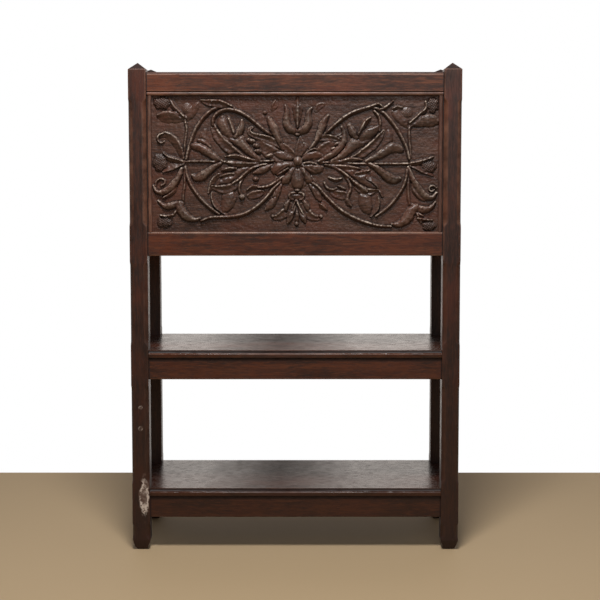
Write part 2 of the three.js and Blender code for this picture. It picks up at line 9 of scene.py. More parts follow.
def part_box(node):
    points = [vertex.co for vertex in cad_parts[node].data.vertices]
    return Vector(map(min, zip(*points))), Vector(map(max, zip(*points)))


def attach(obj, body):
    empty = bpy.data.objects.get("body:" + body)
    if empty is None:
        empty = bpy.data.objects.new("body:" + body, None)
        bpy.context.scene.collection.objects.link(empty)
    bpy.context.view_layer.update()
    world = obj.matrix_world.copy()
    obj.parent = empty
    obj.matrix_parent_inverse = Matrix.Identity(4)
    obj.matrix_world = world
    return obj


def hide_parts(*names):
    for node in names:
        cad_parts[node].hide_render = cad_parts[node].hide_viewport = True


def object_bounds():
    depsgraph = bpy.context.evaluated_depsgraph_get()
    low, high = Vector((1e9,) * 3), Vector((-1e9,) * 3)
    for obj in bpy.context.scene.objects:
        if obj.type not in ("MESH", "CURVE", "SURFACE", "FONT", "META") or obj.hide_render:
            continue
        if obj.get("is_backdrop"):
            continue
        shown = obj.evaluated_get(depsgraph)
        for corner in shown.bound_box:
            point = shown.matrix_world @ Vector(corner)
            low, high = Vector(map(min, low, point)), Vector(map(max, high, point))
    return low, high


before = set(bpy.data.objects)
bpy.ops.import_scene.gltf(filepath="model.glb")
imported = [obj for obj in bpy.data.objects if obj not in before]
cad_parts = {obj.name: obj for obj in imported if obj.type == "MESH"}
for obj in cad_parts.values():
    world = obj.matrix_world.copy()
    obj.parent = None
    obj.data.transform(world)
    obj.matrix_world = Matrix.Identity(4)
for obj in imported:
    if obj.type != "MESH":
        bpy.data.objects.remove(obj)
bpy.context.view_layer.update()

# Posts
# Four square uprights of planed oak, stained nearly black and waxed by hand. Their heads are cut to a
# low pyramid, their feet taper, and one pair of corners is chamfered between the rails. The rails are
# tenoned into them, so nothing of the joint shows but a fine line.


def srgb(text):
    """A colour written as sRGB hex, turned to the linear values that a shader takes."""
    parts = [int(text[i:i + 2], 16) / 255 for i in (0, 2, 4)]
    return (*(p / 12.92 if p <= 0.04045 else ((p + 0.055) / 1.055) ** 2.4 for p in parts), 1)


def add_node(tree, kind, settings=None, output=0):
    """Adds a shader node and gives one of its outputs. A setting is a property, the stops of a ramp, or an
    input, by name or number. An input takes a value or another node's output."""
    node = tree.nodes.new(kind)
    for key, value in (settings or {}).items():
        if key == "stops":
            elements = node.color_ramp.elements
            while len(elements) < len(value):
                elements.new(0.5)
            for element, (place, tone) in zip(elements, value):
                element.position = place
                element.color = srgb(tone) if isinstance(tone, str) else (tone, tone, tone, 1)
        elif isinstance(value, bpy.types.NodeSocket):
            tree.links.new(value, node.inputs[key])
        elif isinstance(key, str) and key in node.bl_rna.properties:
            setattr(node, key, value)
        else:
            node.inputs[key].default_value = value
    return node.outputs[output] if len(node.outputs) else None


def grain(tree, place, along, across_mm, along_mm, detail, roughness=0.55):
    """A pattern drawn out along the grain: about across_mm wide and along_mm long, in real millimetres."""
    scale = [1000 / across_mm] * 3
    scale["XYZ".index(along)] = 1000 / along_mm
    stretched = add_node(tree, "ShaderNodeMapping", {"vector_type": "POINT", "Scale": scale, 0: place})
    fineness = {"Scale": 1.0, "Detail": detail, "Roughness": roughness, "Distortion": 0.15}
    return add_node(tree, "ShaderNodeTexNoise", {**fineness, "Vector": stretched})


def waxed_oak(name, along, dark, middle, light, worn_and_lit, gloss=0.42, wear_and_highlight_share=0.75, scuffs=(), dull_middle=0):
    """Old oak, planed, stained and waxed. Streaks a few millimetres wide and a hand long carry the
    colour, open pores show as short dark dashes along the grain, and the arrises are rubbed paler, with
    painted highlights where a piece marks them. The wax gives a low, uneven shine. Marked corners and
    undersides get dirt and painted shade, and painted shade darkens the wood towards the floor."""
    material = bpy.data.materials.new(name)
    material.use_nodes = True
    tree = material.node_tree
    tree.nodes.clear()
    where = add_node(tree, "ShaderNodeTexCoord", output="Object")
    # Each piece takes its own part of the pattern, as each is cut from its own board.
    apart = add_node(tree, "ShaderNodeObjectInfo", output="Random")
    board = add_node(tree, "ShaderNodeVectorMath", {"operation": "SCALE", 0: (3.1, 7.3, 5.7), "Scale": apart})
    place = add_node(tree, "ShaderNodeVectorMath", {"operation": "ADD", 0: where, 1: board})

    streaks = grain(tree, place, along, 6, 170, 5, 0.62)
    bands = grain(tree, place, along, 24, 330, 2)
    clouds = grain(tree, place, along, 55, 95, 3)
    # Real pores are 0.3 mm wide. They are drawn about 2 mm wide, so that they show.
    pores = grain(tree, place, along, 1.9, 15, 3, 0.6)
    flecks = grain(tree, place, along, 2.4, 19, 3, 0.6)
    patch_size = {"Scale": 1000 / 24, "Detail": 4.0, "Roughness": 0.65}
    patches = add_node(tree, "ShaderNodeTexNoise", {**patch_size, "Vector": place})
    rubbed_and_lit = add_node(tree, "ShaderNodeAttribute", {"attribute_name": "wear"}, "Fac")
    grime = add_node(tree, "ShaderNodeAttribute", {"attribute_name": "grime"}, "Fac")
    height_up = add_node(tree, "ShaderNodeSeparateXYZ", {0: where}, "Z")

    tone = streaks
    for share, other in ((0.42, bands), (0.3, clouds), (0.24, flecks)):
        tone = add_node(tree, "ShaderNodeMix", {"data_type": "RGBA", 0: share, 6: tone, 7: other}, 2)
    colour = add_node(tree, "ShaderNodeValToRGB", {0: tone, "stops": ((0.43, dark), (0.5, middle), (0.58, light))})

    pale = add_node(tree, "ShaderNodeValToRGB", {0: flecks, "stops": ((0.53, 0.0), (0.66, 0.75))})
    pore_mask = add_node(tree, "ShaderNodeValToRGB", {0: pores, "stops": ((0.36, 1.0), (0.5, 0.0))})
    in_pores = add_node(tree, "ShaderNodeMath", {"operation": "MULTIPLY", 0: pore_mask, 1: 0.6})
    redder = add_node(tree, "ShaderNodeValToRGB", {0: clouds, "stops": ((0.5, 0.0), (0.62, 0.3))})
    patchy = add_node(tree, "ShaderNodeValToRGB", {0: patches, "stops": ((0.38, 0.25), (0.66, 1.0))})
    rub_and_highlight = add_node(tree, "ShaderNodeMath", {"operation": "MULTIPLY", 0: rubbed_and_lit, 1: patchy})
    rub_and_highlight = add_node(tree, "ShaderNodeMath", {"operation": "MULTIPLY", "use_clamp": True, 0: rub_and_highlight, 1: wear_and_highlight_share})
    dirt_and_shade = add_node(tree, "ShaderNodeMath", {"operation": "MULTIPLY", "use_clamp": True, 0: grime, 1: 0.9})
    floor_shade_stops = ((0.0, 0.72), (0.14, 0.55), (0.34, 0.32), (0.6, 0.0))
    painted_floor_shade = add_node(tree, "ShaderNodeValToRGB", {0: height_up, "stops": floor_shade_stops})
    # What lies over the stained wood, from the lowest: pale flecks, pores, places where the stain has
    # turned redder, rubbed edges with painted highlights, dirt and painted shade in the corners, and painted
    # shade towards the floor.
    over_wood = (
        (pale, light), (in_pores, "120a07"), (redder, "5a2614"), (rub_and_highlight, worn_and_lit), (dirt_and_shade, "120603"), (painted_floor_shade, "260e05")
    )
    for share, over in over_wood:
        colour = add_node(tree, "ShaderNodeMix", {"data_type": "RGBA", 0: share, 6: colour, 7: srgb(over)}, 2)

    # Rubbed and highlighted places shine a little more, and pores and the corners marked for dirt and painted shade
    # stay dull.
    rough = add_node(tree, "ShaderNodeMath", {"operation": "MULTIPLY_ADD", 0: patches, 1: 0.22, 2: gloss - 0.11})
    for mark, change, last in ((rubbed_and_lit, -0.1, False), (pore_mask, 0.16, False), (grime, 0.3, True)):
        duller = {"operation": "MULTIPLY_ADD", "use_clamp": last, 0: mark, 1: change, 2: rough}
        rough = add_node(tree, "ShaderNodeMath", duller)

    if dull_middle:
        # Things set down and slid about near the middle have rubbed the polish dull.
        sideways = add_node(tree, "ShaderNodeSeparateXYZ", {0: where}, "X")
        left_of_middle = 0.028
        sideways = add_node(tree, "ShaderNodeMath", {"operation": "ADD", 0: sideways, 1: left_of_middle})
        sideways = add_node(tree, "ShaderNodeMath", {"operation": "ABSOLUTE", 0: sideways})
        slid_on = ((0.0, 1.0), (0.06, 0.55), (0.14, 0.0))
        dulled = add_node(tree, "ShaderNodeValToRGB", {0: sideways, "stops": slid_on})
        duller = {"operation": "MULTIPLY_ADD", "use_clamp": True, 0: dulled, 1: 0.3 * dull_middle, 2: rough}
        rough = add_node(tree, "ShaderNodeMath", duller)

    # Scuffs: places where the finish is knocked off and the bare wood shows, each a middle and a half
    # width and half height in millimetres, on the front face of a post.
    post_face = -0.111
    for (x, z), (half_x, half_z), bareness in scuffs:
        middle_of = (x / 1000, post_face, z / 1000)
        reach = add_node(tree, "ShaderNodeVectorMath", {"operation": "SUBTRACT", 0: where, 1: middle_of})
        size = (1000 / half_x, 250, 1000 / half_z)
        reach = add_node(tree, "ShaderNodeVectorMath", {"operation": "MULTIPLY", 0: reach, 1: size})
        reach = add_node(tree, "ShaderNodeVectorMath", {"operation": "LENGTH", 0: reach}, "Value")
        chip_size = {"Scale": 1000 / 9, "Detail": 5.0, "Roughness": 0.7}
        chips = add_node(tree, "ShaderNodeTexNoise", {**chip_size, "Vector": where})
        ragged = add_node(tree, "ShaderNodeMath", {"operation": "MULTIPLY_ADD", 0: chips, 1: 2.0, 2: -1.0})
        edge = add_node(tree, "ShaderNodeMath", {"operation": "ADD", 0: reach, 1: ragged})
        bare = add_node(tree, "ShaderNodeValToRGB", {0: edge, "stops": ((0.86, 1.0), (1.0, 0.0))})
        bare = add_node(tree, "ShaderNodeMath", {"operation": "MULTIPLY", 0: bare, 1: bareness})
        # The middle of a scuff has been handled dark again, and its rim is still raw.
        outer = add_node(tree, "ShaderNodeValToRGB", {0: edge, "stops": ((0.35, 0.15), (0.8, 1.0))})
        raw = add_node(tree, "ShaderNodeValToRGB", {0: chips, "stops": ((0.46, 0.0), (0.53, 1.0))})
        rim = add_node(tree, "ShaderNodeMath", {"operation": "MULTIPLY", 0: outer, 1: raw})
        highlight_falloff, fresh = srgb("5c463c"), srgb("dccdc1")
        bare_wood = add_node(tree, "ShaderNodeMix", {"data_type": "RGBA", 0: rim, 6: highlight_falloff, 7: fresh}, 2)
        colour = add_node(tree, "ShaderNodeMix", {"data_type": "RGBA", 0: bare, 6: colour, 7: bare_wood}, 2)
        unwaxed = (0.75, 0.75, 0.75, 1)
        rough = add_node(tree, "ShaderNodeMix", {"data_type": "RGBA", 0: bare, 6: rough, 7: unwaxed}, 2)

    raised = add_node(tree, "ShaderNodeMath", {"operation": "MULTIPLY", 0: streaks, 1: 0.5})
    raised = add_node(tree, "ShaderNodeMath", {"operation": "MULTIPLY_ADD", 0: pore_mask, 1: -0.8, 2: raised})
    bump = add_node(tree, "ShaderNodeBump", {"Strength": 0.55, "Distance": 0.00012, "Height": raised})
    look = {"IOR": 1.46, "Base Color": colour, "Roughness": rough, "Normal": bump}
    surface = add_node(tree, "ShaderNodeBsdfPrincipled", look)
    add_node(tree, "ShaderNodeOutputMaterial", {"Surface": surface})
    return material


def finish_piece(name, points, faces, marks, material, slot, node, crease=50):
    """Makes a mesh piece of the stand, and lets it stand for its CAD node. The points are in metres.
    The marks say how rubbed and lit, and how dirty and shaded, each is. Edges sharper than the crease, in degrees, stay
    sharp."""
    mesh = bpy.data.meshes.new(name)
    mesh.from_pydata(points, [], faces)
    for mark, values in marks.items():
        mesh.attributes.new(mark, "FLOAT", "POINT").data.foreach_set("value", values)
    work = bmesh.new()
    work.from_mesh(mesh)
    bmesh.ops.recalc_face_normals(work, faces=work.faces)
    work.to_mesh(mesh)
    work.free()
    mesh.polygons.foreach_set("use_smooth", [True] * len(mesh.polygons))
    mesh.set_sharp_from_angle(angle=radians(crease))
    mesh.materials.append(material)
    piece = bpy.data.objects.new(name, mesh)
    bpy.context.scene.collection.objects.link(piece)
    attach(piece, "root")
    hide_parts(node)


def skin(rings, wear, grime=None):
    """Points, faces and marks of a closed skin through rings of points in millimetres."""
    count = len(rings[0])
    points = [tuple(value / 1000 for value in point) for ring in rings for point in ring]
    marks = {"wear": [value for ring in wear for value in ring]}
    if grime is not None:
        marks["grime"] = [value for ring in grime for value in ring]
    faces = []
    for low in range(0, (len(rings) - 1) * count, count):
        for i in range(count):
            j = (i + 1) % count
            faces.append((low + i, low + j, low + count + j, low + count + i))
    faces.append(tuple(range(count - 1, -1, -1)))
    faces.append(tuple(range((len(rings) - 1) * count, len(rings) * count)))
    return points, faces, marks


def limits(node):
    """The lowest and highest corner of a CAD node, in millimetres."""
    low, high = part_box(node)
    return [value * 1000 for value in low], [value * 1000 for value in high]


post_low, post_high = limits("post_front_left")
post_half = (post_high[0] - post_low[0]) / 2
inner_x, inner_y = -post_high[0], -post_high[1]
stand_half_x, stand_half_y = -post_low[0], -post_low[1]
post_top = post_high[2]
head_base = post_top - 11.5
foot_rise = 17.5
chamfer_leg, chamfer_stop, chamfer_stand = 5.5, 9, 8
arris_round, chamfer_ease, wear_reach = 0.9, 0.5, 2.6
planed_away, most_wander = 0.19, 0.18
foot_slope, foot_curve, foot_edge = 4.2, 3.6, 0.4
rear_head_drop, rear_head_share = 5, 0.56
# A head from its foot up: how high, how wide as a share of the post, and how rubbed.
head_levels = (
    (-0.8, 1, 0.2), (0, 1, 0.9), (0.5, 0.975, 0.9), (1.4, 0.9, 0.1), (6, 0.5, 0), (10.4, 0.12, 0.5), (11.3, 0.045, 0.9)
)

shelf_tops = [limits(f"{name}_shelf")[1][2] for name in ("lower", "upper")]
shelf_rail_bottoms = [limits(f"{name}_shelf_front_rail")[0][2] for name in ("lower", "upper")]
trough_rail_low, trough_rail_high = limits("front_bottom_rail")
top_rail_low, top_rail_high = limits("front_top_rail")
chamfer_runs = (
    (foot_rise, shelf_rail_bottoms[0] - chamfer_stand),
    (shelf_tops[0] + chamfer_stand, shelf_rail_bottoms[1] - chamfer_stand),
    (shelf_tops[1] + chamfer_stand, trough_rail_low[2] - chamfer_stand),
    (trough_rail_high[2] + chamfer_stand, top_rail_low[2] - chamfer_stand / 2),
)


def chamfer_share(z):
    """How much of the full chamfer a post has at a height: it runs out in a hollow stop at each end."""
    for low, high in chamfer_runs:
        if low < z < high:
            reach = min(z - low, high - z, chamfer_stop) / chamfer_stop
            return reach * reach * (3 - 2 * reach)
    return 0


def post_corner(half, share):
    """Six points round a post's corner at +X +Y, and how rubbed each is."""
    r = min(arris_round, half * 0.6)
    leg, ease = chamfer_leg, chamfer_ease
    plain = [(half - r + r * cos(a), half - r + r * sin(a)) for a in (0, pi / 6, pi / 3, pi / 2)]
    cut = [
        (half, half - leg - ease), (half - 0.7 * ease, half - leg + 0.7 * ease),
        (half - leg + 0.7 * ease, half - 0.7 * ease), (half - leg - ease, half),
    ]
    turn = [tuple(p + (c - p) * share for p, c in zip(a, b)) for a, b in zip(plain, cut)]
    reach = min(wear_reach, half * 0.3)
    first = (half, turn[0][1] - reach)
    last = (turn[3][0] - reach, half)
    return [first, *turn, last], [0, 0.8, 1, 1, 0.8, 0]


def post_ring(half, z, chamfered, wander):
    """One level of a post. chamfered tells which of its four corners are cut."""
    ring, rubs_and_highlights = [], []
    for quarter in range(4):
        share = chamfer_share(z) if quarter in chamfered else 0
        corner, rub_and_highlight = post_corner(half, share)
        c, s = cos(quarter * pi / 2), sin(quarter * pi / 2)
        ring += [(c * x - s * y + wander[0], s * x + c * y + wander[1], z) for x, y in corner]
        rubs_and_highlights += rub_and_highlight
    return ring, rubs_and_highlights


post_scuffs = (((-261.5, 94), (9.5, 35), 0.9), ((-266.5, 251), (4, 3.5), 0.45), ((-267, 214), (4.5, 4.5), 0.4))
post_oak = waxed_oak("oak_post_dark_stain", "Z", "27140e", "371f17", "48281d", "77513f", gloss=0.45, scuffs=post_scuffs)
hand = np.random.default_rng(7)
post_levels = [0, 0.7, 2.5, 5, 8, 11, 14, foot_rise - 1, foot_rise + 0.6]
for low, high in chamfer_runs:
    for share in (0, 0.25, 0.5, 0.75, 1):
        post_levels += [low + chamfer_stop * share, high - chamfer_stop * share]
post_levels += list(np.linspace(30, head_base - 12, 24))
post_levels = sorted({round(z, 2) for z in post_levels} | {head_base - 0.8})
for side_y, depth_name, chamfered in ((-1, "front", (2, 3)), (1, "back", (0, 1))):
    for side_x, width_name in ((-1, "left"), (1, "right")):
        middle = (side_x * (stand_half_x - post_half), side_y * (stand_half_y - post_half))
        rings, rubs_and_highlights = [], []
        # The faces were planed by hand, so they wander by a fraction of a millimetre.
        bend = np.cumsum(hand.normal(0, 0.05, (len(post_levels), 2)), axis=0)
        bend -= np.linspace(0, 1, len(post_levels))[:, None] * bend[-1]
        bend = np.clip(bend, -most_wander, most_wander)
        for z, wander in zip(post_levels, bend):
            half = post_half - planed_away
            if z < foot_rise:
                # The foot is pared in to its end in a full curve.
                drop = 1 - z / foot_rise
                half -= foot_slope * drop + foot_curve * (1 - sqrt(1 - drop * drop)) + (foot_edge if z == 0 else 0)
            ring, rub_and_highlight = post_ring(half, z, chamfered, wander)
            rings.append(ring)
            # The arrises are rubbed paler. Painted highlight makes them palest by the trough, and it fades lower down.
            highlight_falloff = 0.4 + 0.6 * min(max((z - 480) / 120, 0), 1)
            rubs_and_highlights.append([r * highlight_falloff for r in rub_and_highlight])
        # The rear heads are flatter, as the photograph shows them.
        head_rise, lift = (head_base, 1) if depth_name == "front" else (post_top - rear_head_drop, rear_head_share)
        rings = [ring for ring in rings if ring[0][2] < head_base - 1]
        rubs_and_highlights = rubs_and_highlights[:len(rings)]
        # The last seven centimetres are darkened towards the floor.
        dirt_and_shade = [[0.4 * max(0, 1 - ring[0][2] / 70)] * len(ring) for ring in rings]
        for rise, share, face_rub in head_levels:
            ring, rub_and_highlight = post_ring((post_half - planed_away) * share, head_rise + rise * lift, (), (0, 0))
            rings.append(ring)
            rubs_and_highlights.append([max(r * 0.8, face_rub) for r in rub_and_highlight])
            # Painted shade darkens the faces of the pyramid.
            dirt_and_shade.append([0.75 * (0.5 < rise < 11)] * len(ring))
        rings = [[(x + middle[0], y + middle[1], z) for x, y, z in ring] for ring in rings]
        name = f"post_{depth_name}_{width_name}"
        finish_piece(f"{name}.dressed", *skin(rings, rubs_and_highlights, dirt_and_shade), post_oak, "post", name)

# Rails
# Oak rails, tenoned into the posts and set back a little from their faces. The top rails of the front
# and the ends have a rounded upper edge over a small ledge and a bead along the foot, all run with a
# moulding plane. The back rails and the rails under the shelves are plain boards with eased edges.

rail_set_back = 5
rail_thickness = 20
mould_radius, mould_ledge = 3.2, 0.7
bead_width, quirk_width, quirk_depth = 6, 1.4, 1.8
sight_bevel = 1.6


def arc(middle, radius_x, radius_y, start, end, steps):
    """Points round part of an ellipse, from one angle to another in degrees."""
    turns = np.radians(np.linspace(start, end, steps + 1))
    return [(middle[0] + radius_x * cos(t), middle[1] + radius_y * sin(t)) for t in turns]


def top_mould_outline(height):
    """A moulded top rail's end: how far in from its face, how far up, how rubbed, and how darkened by painted shade."""
    ledge = height - mould_radius
    bead = bead_width / 2
    t, quirk_top, round_end = rail_thickness, bead_width + quirk_width, mould_ledge + mould_radius
    outline = [
        (t, 0.5, 0), (t, height - 1.2, 0.6), (t - 0.4, height - 0.35, 1), (t - 1.2, height, 0.8),
        (t - 3.4, height, 0.1), (round_end + 2, height, 0.15),
        *((*p, 0.12) for p in arc((round_end, ledge), mould_radius, mould_radius, 90, 180, 6)),
        (mould_ledge - 0.25, ledge - 0.05, 0.4), (0.3, ledge - 0.1, 1), (0, ledge - 0.5, 1), (0, ledge - 2.6, 0.1),
        (0, quirk_top + 2.2, 0.05), (0, quirk_top + 0.3, 0.7), (0.35, quirk_top, 0.7),
        (quirk_depth, quirk_top - 0.3, 0), (quirk_depth, bead_width, 0),
        *(
            (quirk_depth + depth, rise, 0.5 if abs(rise - bead) < 2 else 0.15)
            for depth, rise in arc((0, bead), quirk_depth, bead, 90, 270, 10)[1:-1]
        ),
        (quirk_depth, 0, 0), (quirk_depth + 1.5, 0, 0),
    ]
    quirk = (bead_width - 0.1, quirk_top)
    marked = []
    for depth, rise, rub_and_highlight in outline:
        # The quirk and the underside get painted shade.
        quirk_shaded = depth >= quirk_depth and (quirk[0] < rise < quirk[1] or rise == 0)
        # The round along the top gets painted shade too.
        round_shaded = rise >= ledge and depth < round_end + 1
        marked.append((depth, rise, rub_and_highlight, 0.9 * quirk_shaded + 0.5 * round_shaded))
    return marked


def board_outline(height, bevel, shadowed_top=0):
    """A plain rail's end, with eased arrises and a small bevel along its upper outer edge. Under a shelf's
    edge the topmost few millimetres, given by the last argument, are darkened as a painted shadow of the nosing."""
    t, b = rail_thickness, bevel
    outline = [
        (t, 0.9, 0.5), (t, height - 0.9, 0.5), (t - 0.9, height, 0.5), (t - 3, height, 0),
        (b + 2.6, height, 0), (b + 0.35, height, 0.8), (b - 0.25, height - 0.3, 1), (0.3, height - b + 0.25, 1),
        (0, height - b - 0.35, 0.9), (0, height - b - 2.8, 0), (0, height - 7, 0), (0, 3.1, 0), (0, 0.8, 0.6),
        (0.25, 0.25, 0.8), (0.8, 0, 0.6), (3.2, 0, 0), (t - 3, 0, 0),
    ]
    shadow_line = height - shadowed_top
    return [(depth, rise, 0 if rise > shadow_line else rub_and_highlight, 0.85 * (rise > shadow_line)) for depth, rise, rub_and_highlight in outline]


def lay_rail(name, side, reach, top, height, outline, material):
    """Lofts a rail's outline from post to post along one side of the stand and turns it there."""
    turn, distance = side
    c, s = cos(turn), sin(turn)
    ends = (-0.4, 0.5, 2.4)
    middles = np.linspace(-reach + 10, reach - 10, 9)
    stations = [*(-reach + end for end in ends), *middles, *(reach - end for end in reversed(ends))]
    drift = np.clip(np.cumsum(hand.normal(0, 0.035, (len(stations), 2)), axis=0), -0.12, 0.12)
    rings, rubs_and_highlights, dirt_and_shade = [], [], []
    for along, (out, up) in zip(stations, drift):
        # Dirt and painted shade darken the joint with the post.
        at_joint = 1 if reach - abs(along) < 1 else 0
        ring = []
        for depth, rise, _, _ in outline:
            y = rail_set_back - distance + depth + out
            ring.append((c * along - s * y, s * along + c * y, top - height + rise + up))
        rings.append(ring)
        rubs_and_highlights.append([rub_and_highlight * (1 - at_joint) for _, _, rub_and_highlight, _ in outline])
        dirt_and_shade.append([max(grime, at_joint) for _, _, _, grime in outline])
    finish_piece(f"{name}.dressed", *skin(rings, rubs_and_highlights, dirt_and_shade), material, "rail", name, 48)


rail_oak = {
    along: waxed_oak(f"oak_rail_{run}", along, "301810", "4a2516", "643620", "8c6751", gloss=0.45)
    for along, run in (("X", "long_grain"), ("Y", "end_side"))
}
sides = {
    "front": ((0, stand_half_y), inner_x, "X"),
    "back": ((pi, stand_half_y), inner_x, "X"),
    "left": ((-pi / 2, stand_half_x), inner_y, "Y"),
    "right": ((pi / 2, stand_half_x), inner_y, "Y"),
}
top_rail_height = top_rail_high[2] - top_rail_low[2]
trough_rail_height = trough_rail_high[2] - trough_rail_low[2]
for name, (side, reach, along) in sides.items():
    shown = name != "back"
    top_outline = top_mould_outline(top_rail_height) if shown else board_outline(top_rail_height, 0.9)
    lay_rail(f"{name}_top_rail", side, reach, top_rail_high[2], top_rail_height, top_outline, rail_oak[along])
    foot_outline = board_outline(trough_rail_height, sight_bevel if shown else 0.9)
    bottom = (trough_rail_high[2], trough_rail_height, foot_outline)
    lay_rail(f"{name}_bottom_rail", side, reach, *bottom, rail_oak[along])
    for shelf in ("upper", "lower"):
        low, high = limits(f"{shelf}_shelf_{name}_rail")
        height = high[2] - low[2]
        outline = board_outline(height, 0.8, 4.5)
        lay_rail(f"{shelf}_shelf_{name}_rail", side, reach, high[2], height, outline, rail_oak[along])

# Beads beside the carved panel
# Two thin oak mouldings, a round bead with a quirk, planted against the posts between the front rails.
# They carry the bead of the top rail down both sides of the carving.

side_bead_width = 8
upright_oak = waxed_oak("oak_bead_upright_grain", "Z", "3f251c", "54352a", "6c4738", "8d6a57", gloss=0.42)
bead_low, bead_high = trough_rail_high[2], top_rail_low[2]
# Both are rubbed along the crest. The left one's crest carries a stronger painted highlight, and the right one's round
# is darkened with painted shade.
for name, towards, rubbed_and_lit, round_shade in (("left", 1, 0.5, 0.0), ("right", -1, 0.2, 0.3)):
    radius = (side_bead_width - quirk_width) / 2
    # The quirk against the post gets painted shade.
    outline = [(0, 6.2, 1), (0, quirk_depth, 1), (quirk_width - 0.1, quirk_depth, 1)]
    round_face = arc((quirk_width + radius, 0), radius, quirk_depth, 180, 360, 12)
    outline += [(x, quirk_depth + y, round_shade) for x, y in round_face]
    outline += [(side_bead_width, 6.2, 0)]
    rings, rubs_and_highlights, dirt_and_shade = [], [], []
    for z in np.linspace(bead_low - 0.2, bead_high + 0.2, 15):
        shift = float(hand.normal(0, 0.05))
        rings.append([
            (towards * (x - inner_x) + (0 if x == 0 else shift), rail_set_back - stand_half_y + y, z)
            for x, y, _ in outline
        ])
        rubs_and_highlights.append([rubbed_and_lit * (abs(x - quirk_width - radius) < 2 and y < 1) for x, y, _ in outline])
        dirt_and_shade.append([grime for _, _, grime in outline])
    finish_piece(f"panel_bead_{name}.dressed", *skin(rings, rubs_and_highlights, dirt_and_shade), upright_oak, "rail", f"panel_bead_{name}", 48)

# Shelves
# Two oak boards, notched round the posts and laid on their rails. Each edge is rounded below and, above
# a round shoulder, hollowed up to the arris. The tops are polished and lightly scratched by use.

shelf_reach_x = stand_half_x - 2
shelf_reach_y = stand_half_y - 2
notch_x, notch_y = inner_x - 0.1, inner_y - 0.1
hollow_depth, hollow_height, shoulder_radius, under_round = 2.6, 4.4, 2, 2
shelf_thickness = 13.5


def shelf_edge():
    """The moulded edge from the underside up: inset, height, rubbing and painted highlight, and painted shade."""
    shoulder = shelf_thickness - 0.6 - hollow_height - shoulder_radius
    # The underside and its lower round get painted shade.
    edge = [(9, 0, 0, 1), (under_round + 0.6, 0, 0, 1)]
    lower_round = arc((under_round, under_round), under_round, under_round, 270, 180, 5)
    edge += [(*p, 0, 0.8 - 0.15 * i) for i, p in enumerate(lower_round)]
    edge += [(0, shoulder - 1.5, 0.1, 0), (0, shoulder - 0.3, 0.4, 0)]
    # The shoulder carries a painted highlight.
    edge += [(*p, 1, 0) for p in arc((shoulder_radius, shoulder), shoulder_radius, shoulder_radius, 180, 90, 6)]
    # The hollow gets painted shade.
    hollow = (shoulder_radius + 0.2, shoulder + shoulder_radius + hollow_height)
    edge += [
        (hollow[0] + hollow_depth * cos(a), hollow[1] - hollow_height * sin(a), 0, 1)
        for a in np.linspace(pi / 2, 0.08, 8)
    ]
    inset, top = hollow[0] + hollow_depth, shelf_thickness
    edge += [(inset, top - 0.35, 0.5, 0), (inset + 0.12, top - 0.1, 1, 0), (inset + 0.45, top, 1, 0)]
    return edge + [(inset + 1.8, top, 0.7, 0), (inset + 4, top, 0.1, 0), (inset + 12, top, 0, 0)]


def shelf_ring(inset, z):
    """One level of a shelf: a rectangle with its four corners notched out."""
    x, y = shelf_reach_x - inset, shelf_reach_y - inset
    return [
        (-notch_x, -y, z), (notch_x, -y, z), (notch_x, -notch_y, z), (x, -notch_y, z),
        (x, notch_y, z), (notch_x, notch_y, z), (notch_x, y, z), (-notch_x, y, z),
        (-notch_x, notch_y, z), (-x, notch_y, z), (-x, -notch_y, z), (-notch_x, -notch_y, z),
    ]


shelf_oak = waxed_oak(
    "oak_shelf_polished", "X", "2b140c", "3f2014", "55301f", "8f6450", gloss=0.25, wear_and_highlight_share=0.6, dull_middle=1
)
for name in ("lower", "upper"):
    low, high = limits(f"{name}_shelf")
    edge = shelf_edge()
    rings = [shelf_ring(inset, low[2] + z) for inset, z, _, _ in edge]
    rubs_and_highlights = [[rub_and_highlight] * 12 for _, _, rub_and_highlight, _ in edge]
    dirt_and_shade = [[grime] * 12 for _, _, _, grime in edge]
    finish_piece(f"{name}_shelf.dressed", *skin(rings, rubs_and_highlights, dirt_and_shade), shelf_oak, "board", f"{name}_shelf", 42)

# Plain panels and the trough's floor
# Flat oak boards, held by their edges in grooves of the posts and rails. The end panels are finished
# like the rails. The back panel and the floor of the trough were stained thinly and left dry.

panel_oak = waxed_oak("oak_panel_end_board", "Y", "331910", "482618", "5f3624", "85604a", gloss=0.43)
inside_oak = waxed_oak("oak_thin_stain_dry", "X", "3a281d", "4d3628", "634736", "7a5b47", gloss=0.6)
for node, material in (
    ("left_panel", panel_oak), ("right_panel", panel_oak), ("back_panel", inside_oak), ("trough_floor", inside_oak)
):
    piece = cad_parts[node]
    piece.data.materials.clear()
    piece.data.materials.append(material)

# Carved panel
# One oak board, carved with a spray of scrolling foliage round a middle flower. The ground was sunk about
# seven millimetres with gouges, the leaves were hollowed and veined, and the seed heads punched. Painted
# shade darkens the hollows and undersides, and the high edges are rubbed pale, with painted highlights
# along their upper sides.

sight_half_x = inner_x - side_bead_width
sight_low, sight_high = bead_low, bead_high
sight_half_z = (sight_high - sight_low) / 2
sight_middle_z = (sight_high + sight_low) / 2
relief = 7.4
ground_y = rail_set_back + relief - stand_half_y
panel_margin, panel_back_depth = 1.8, 13.5

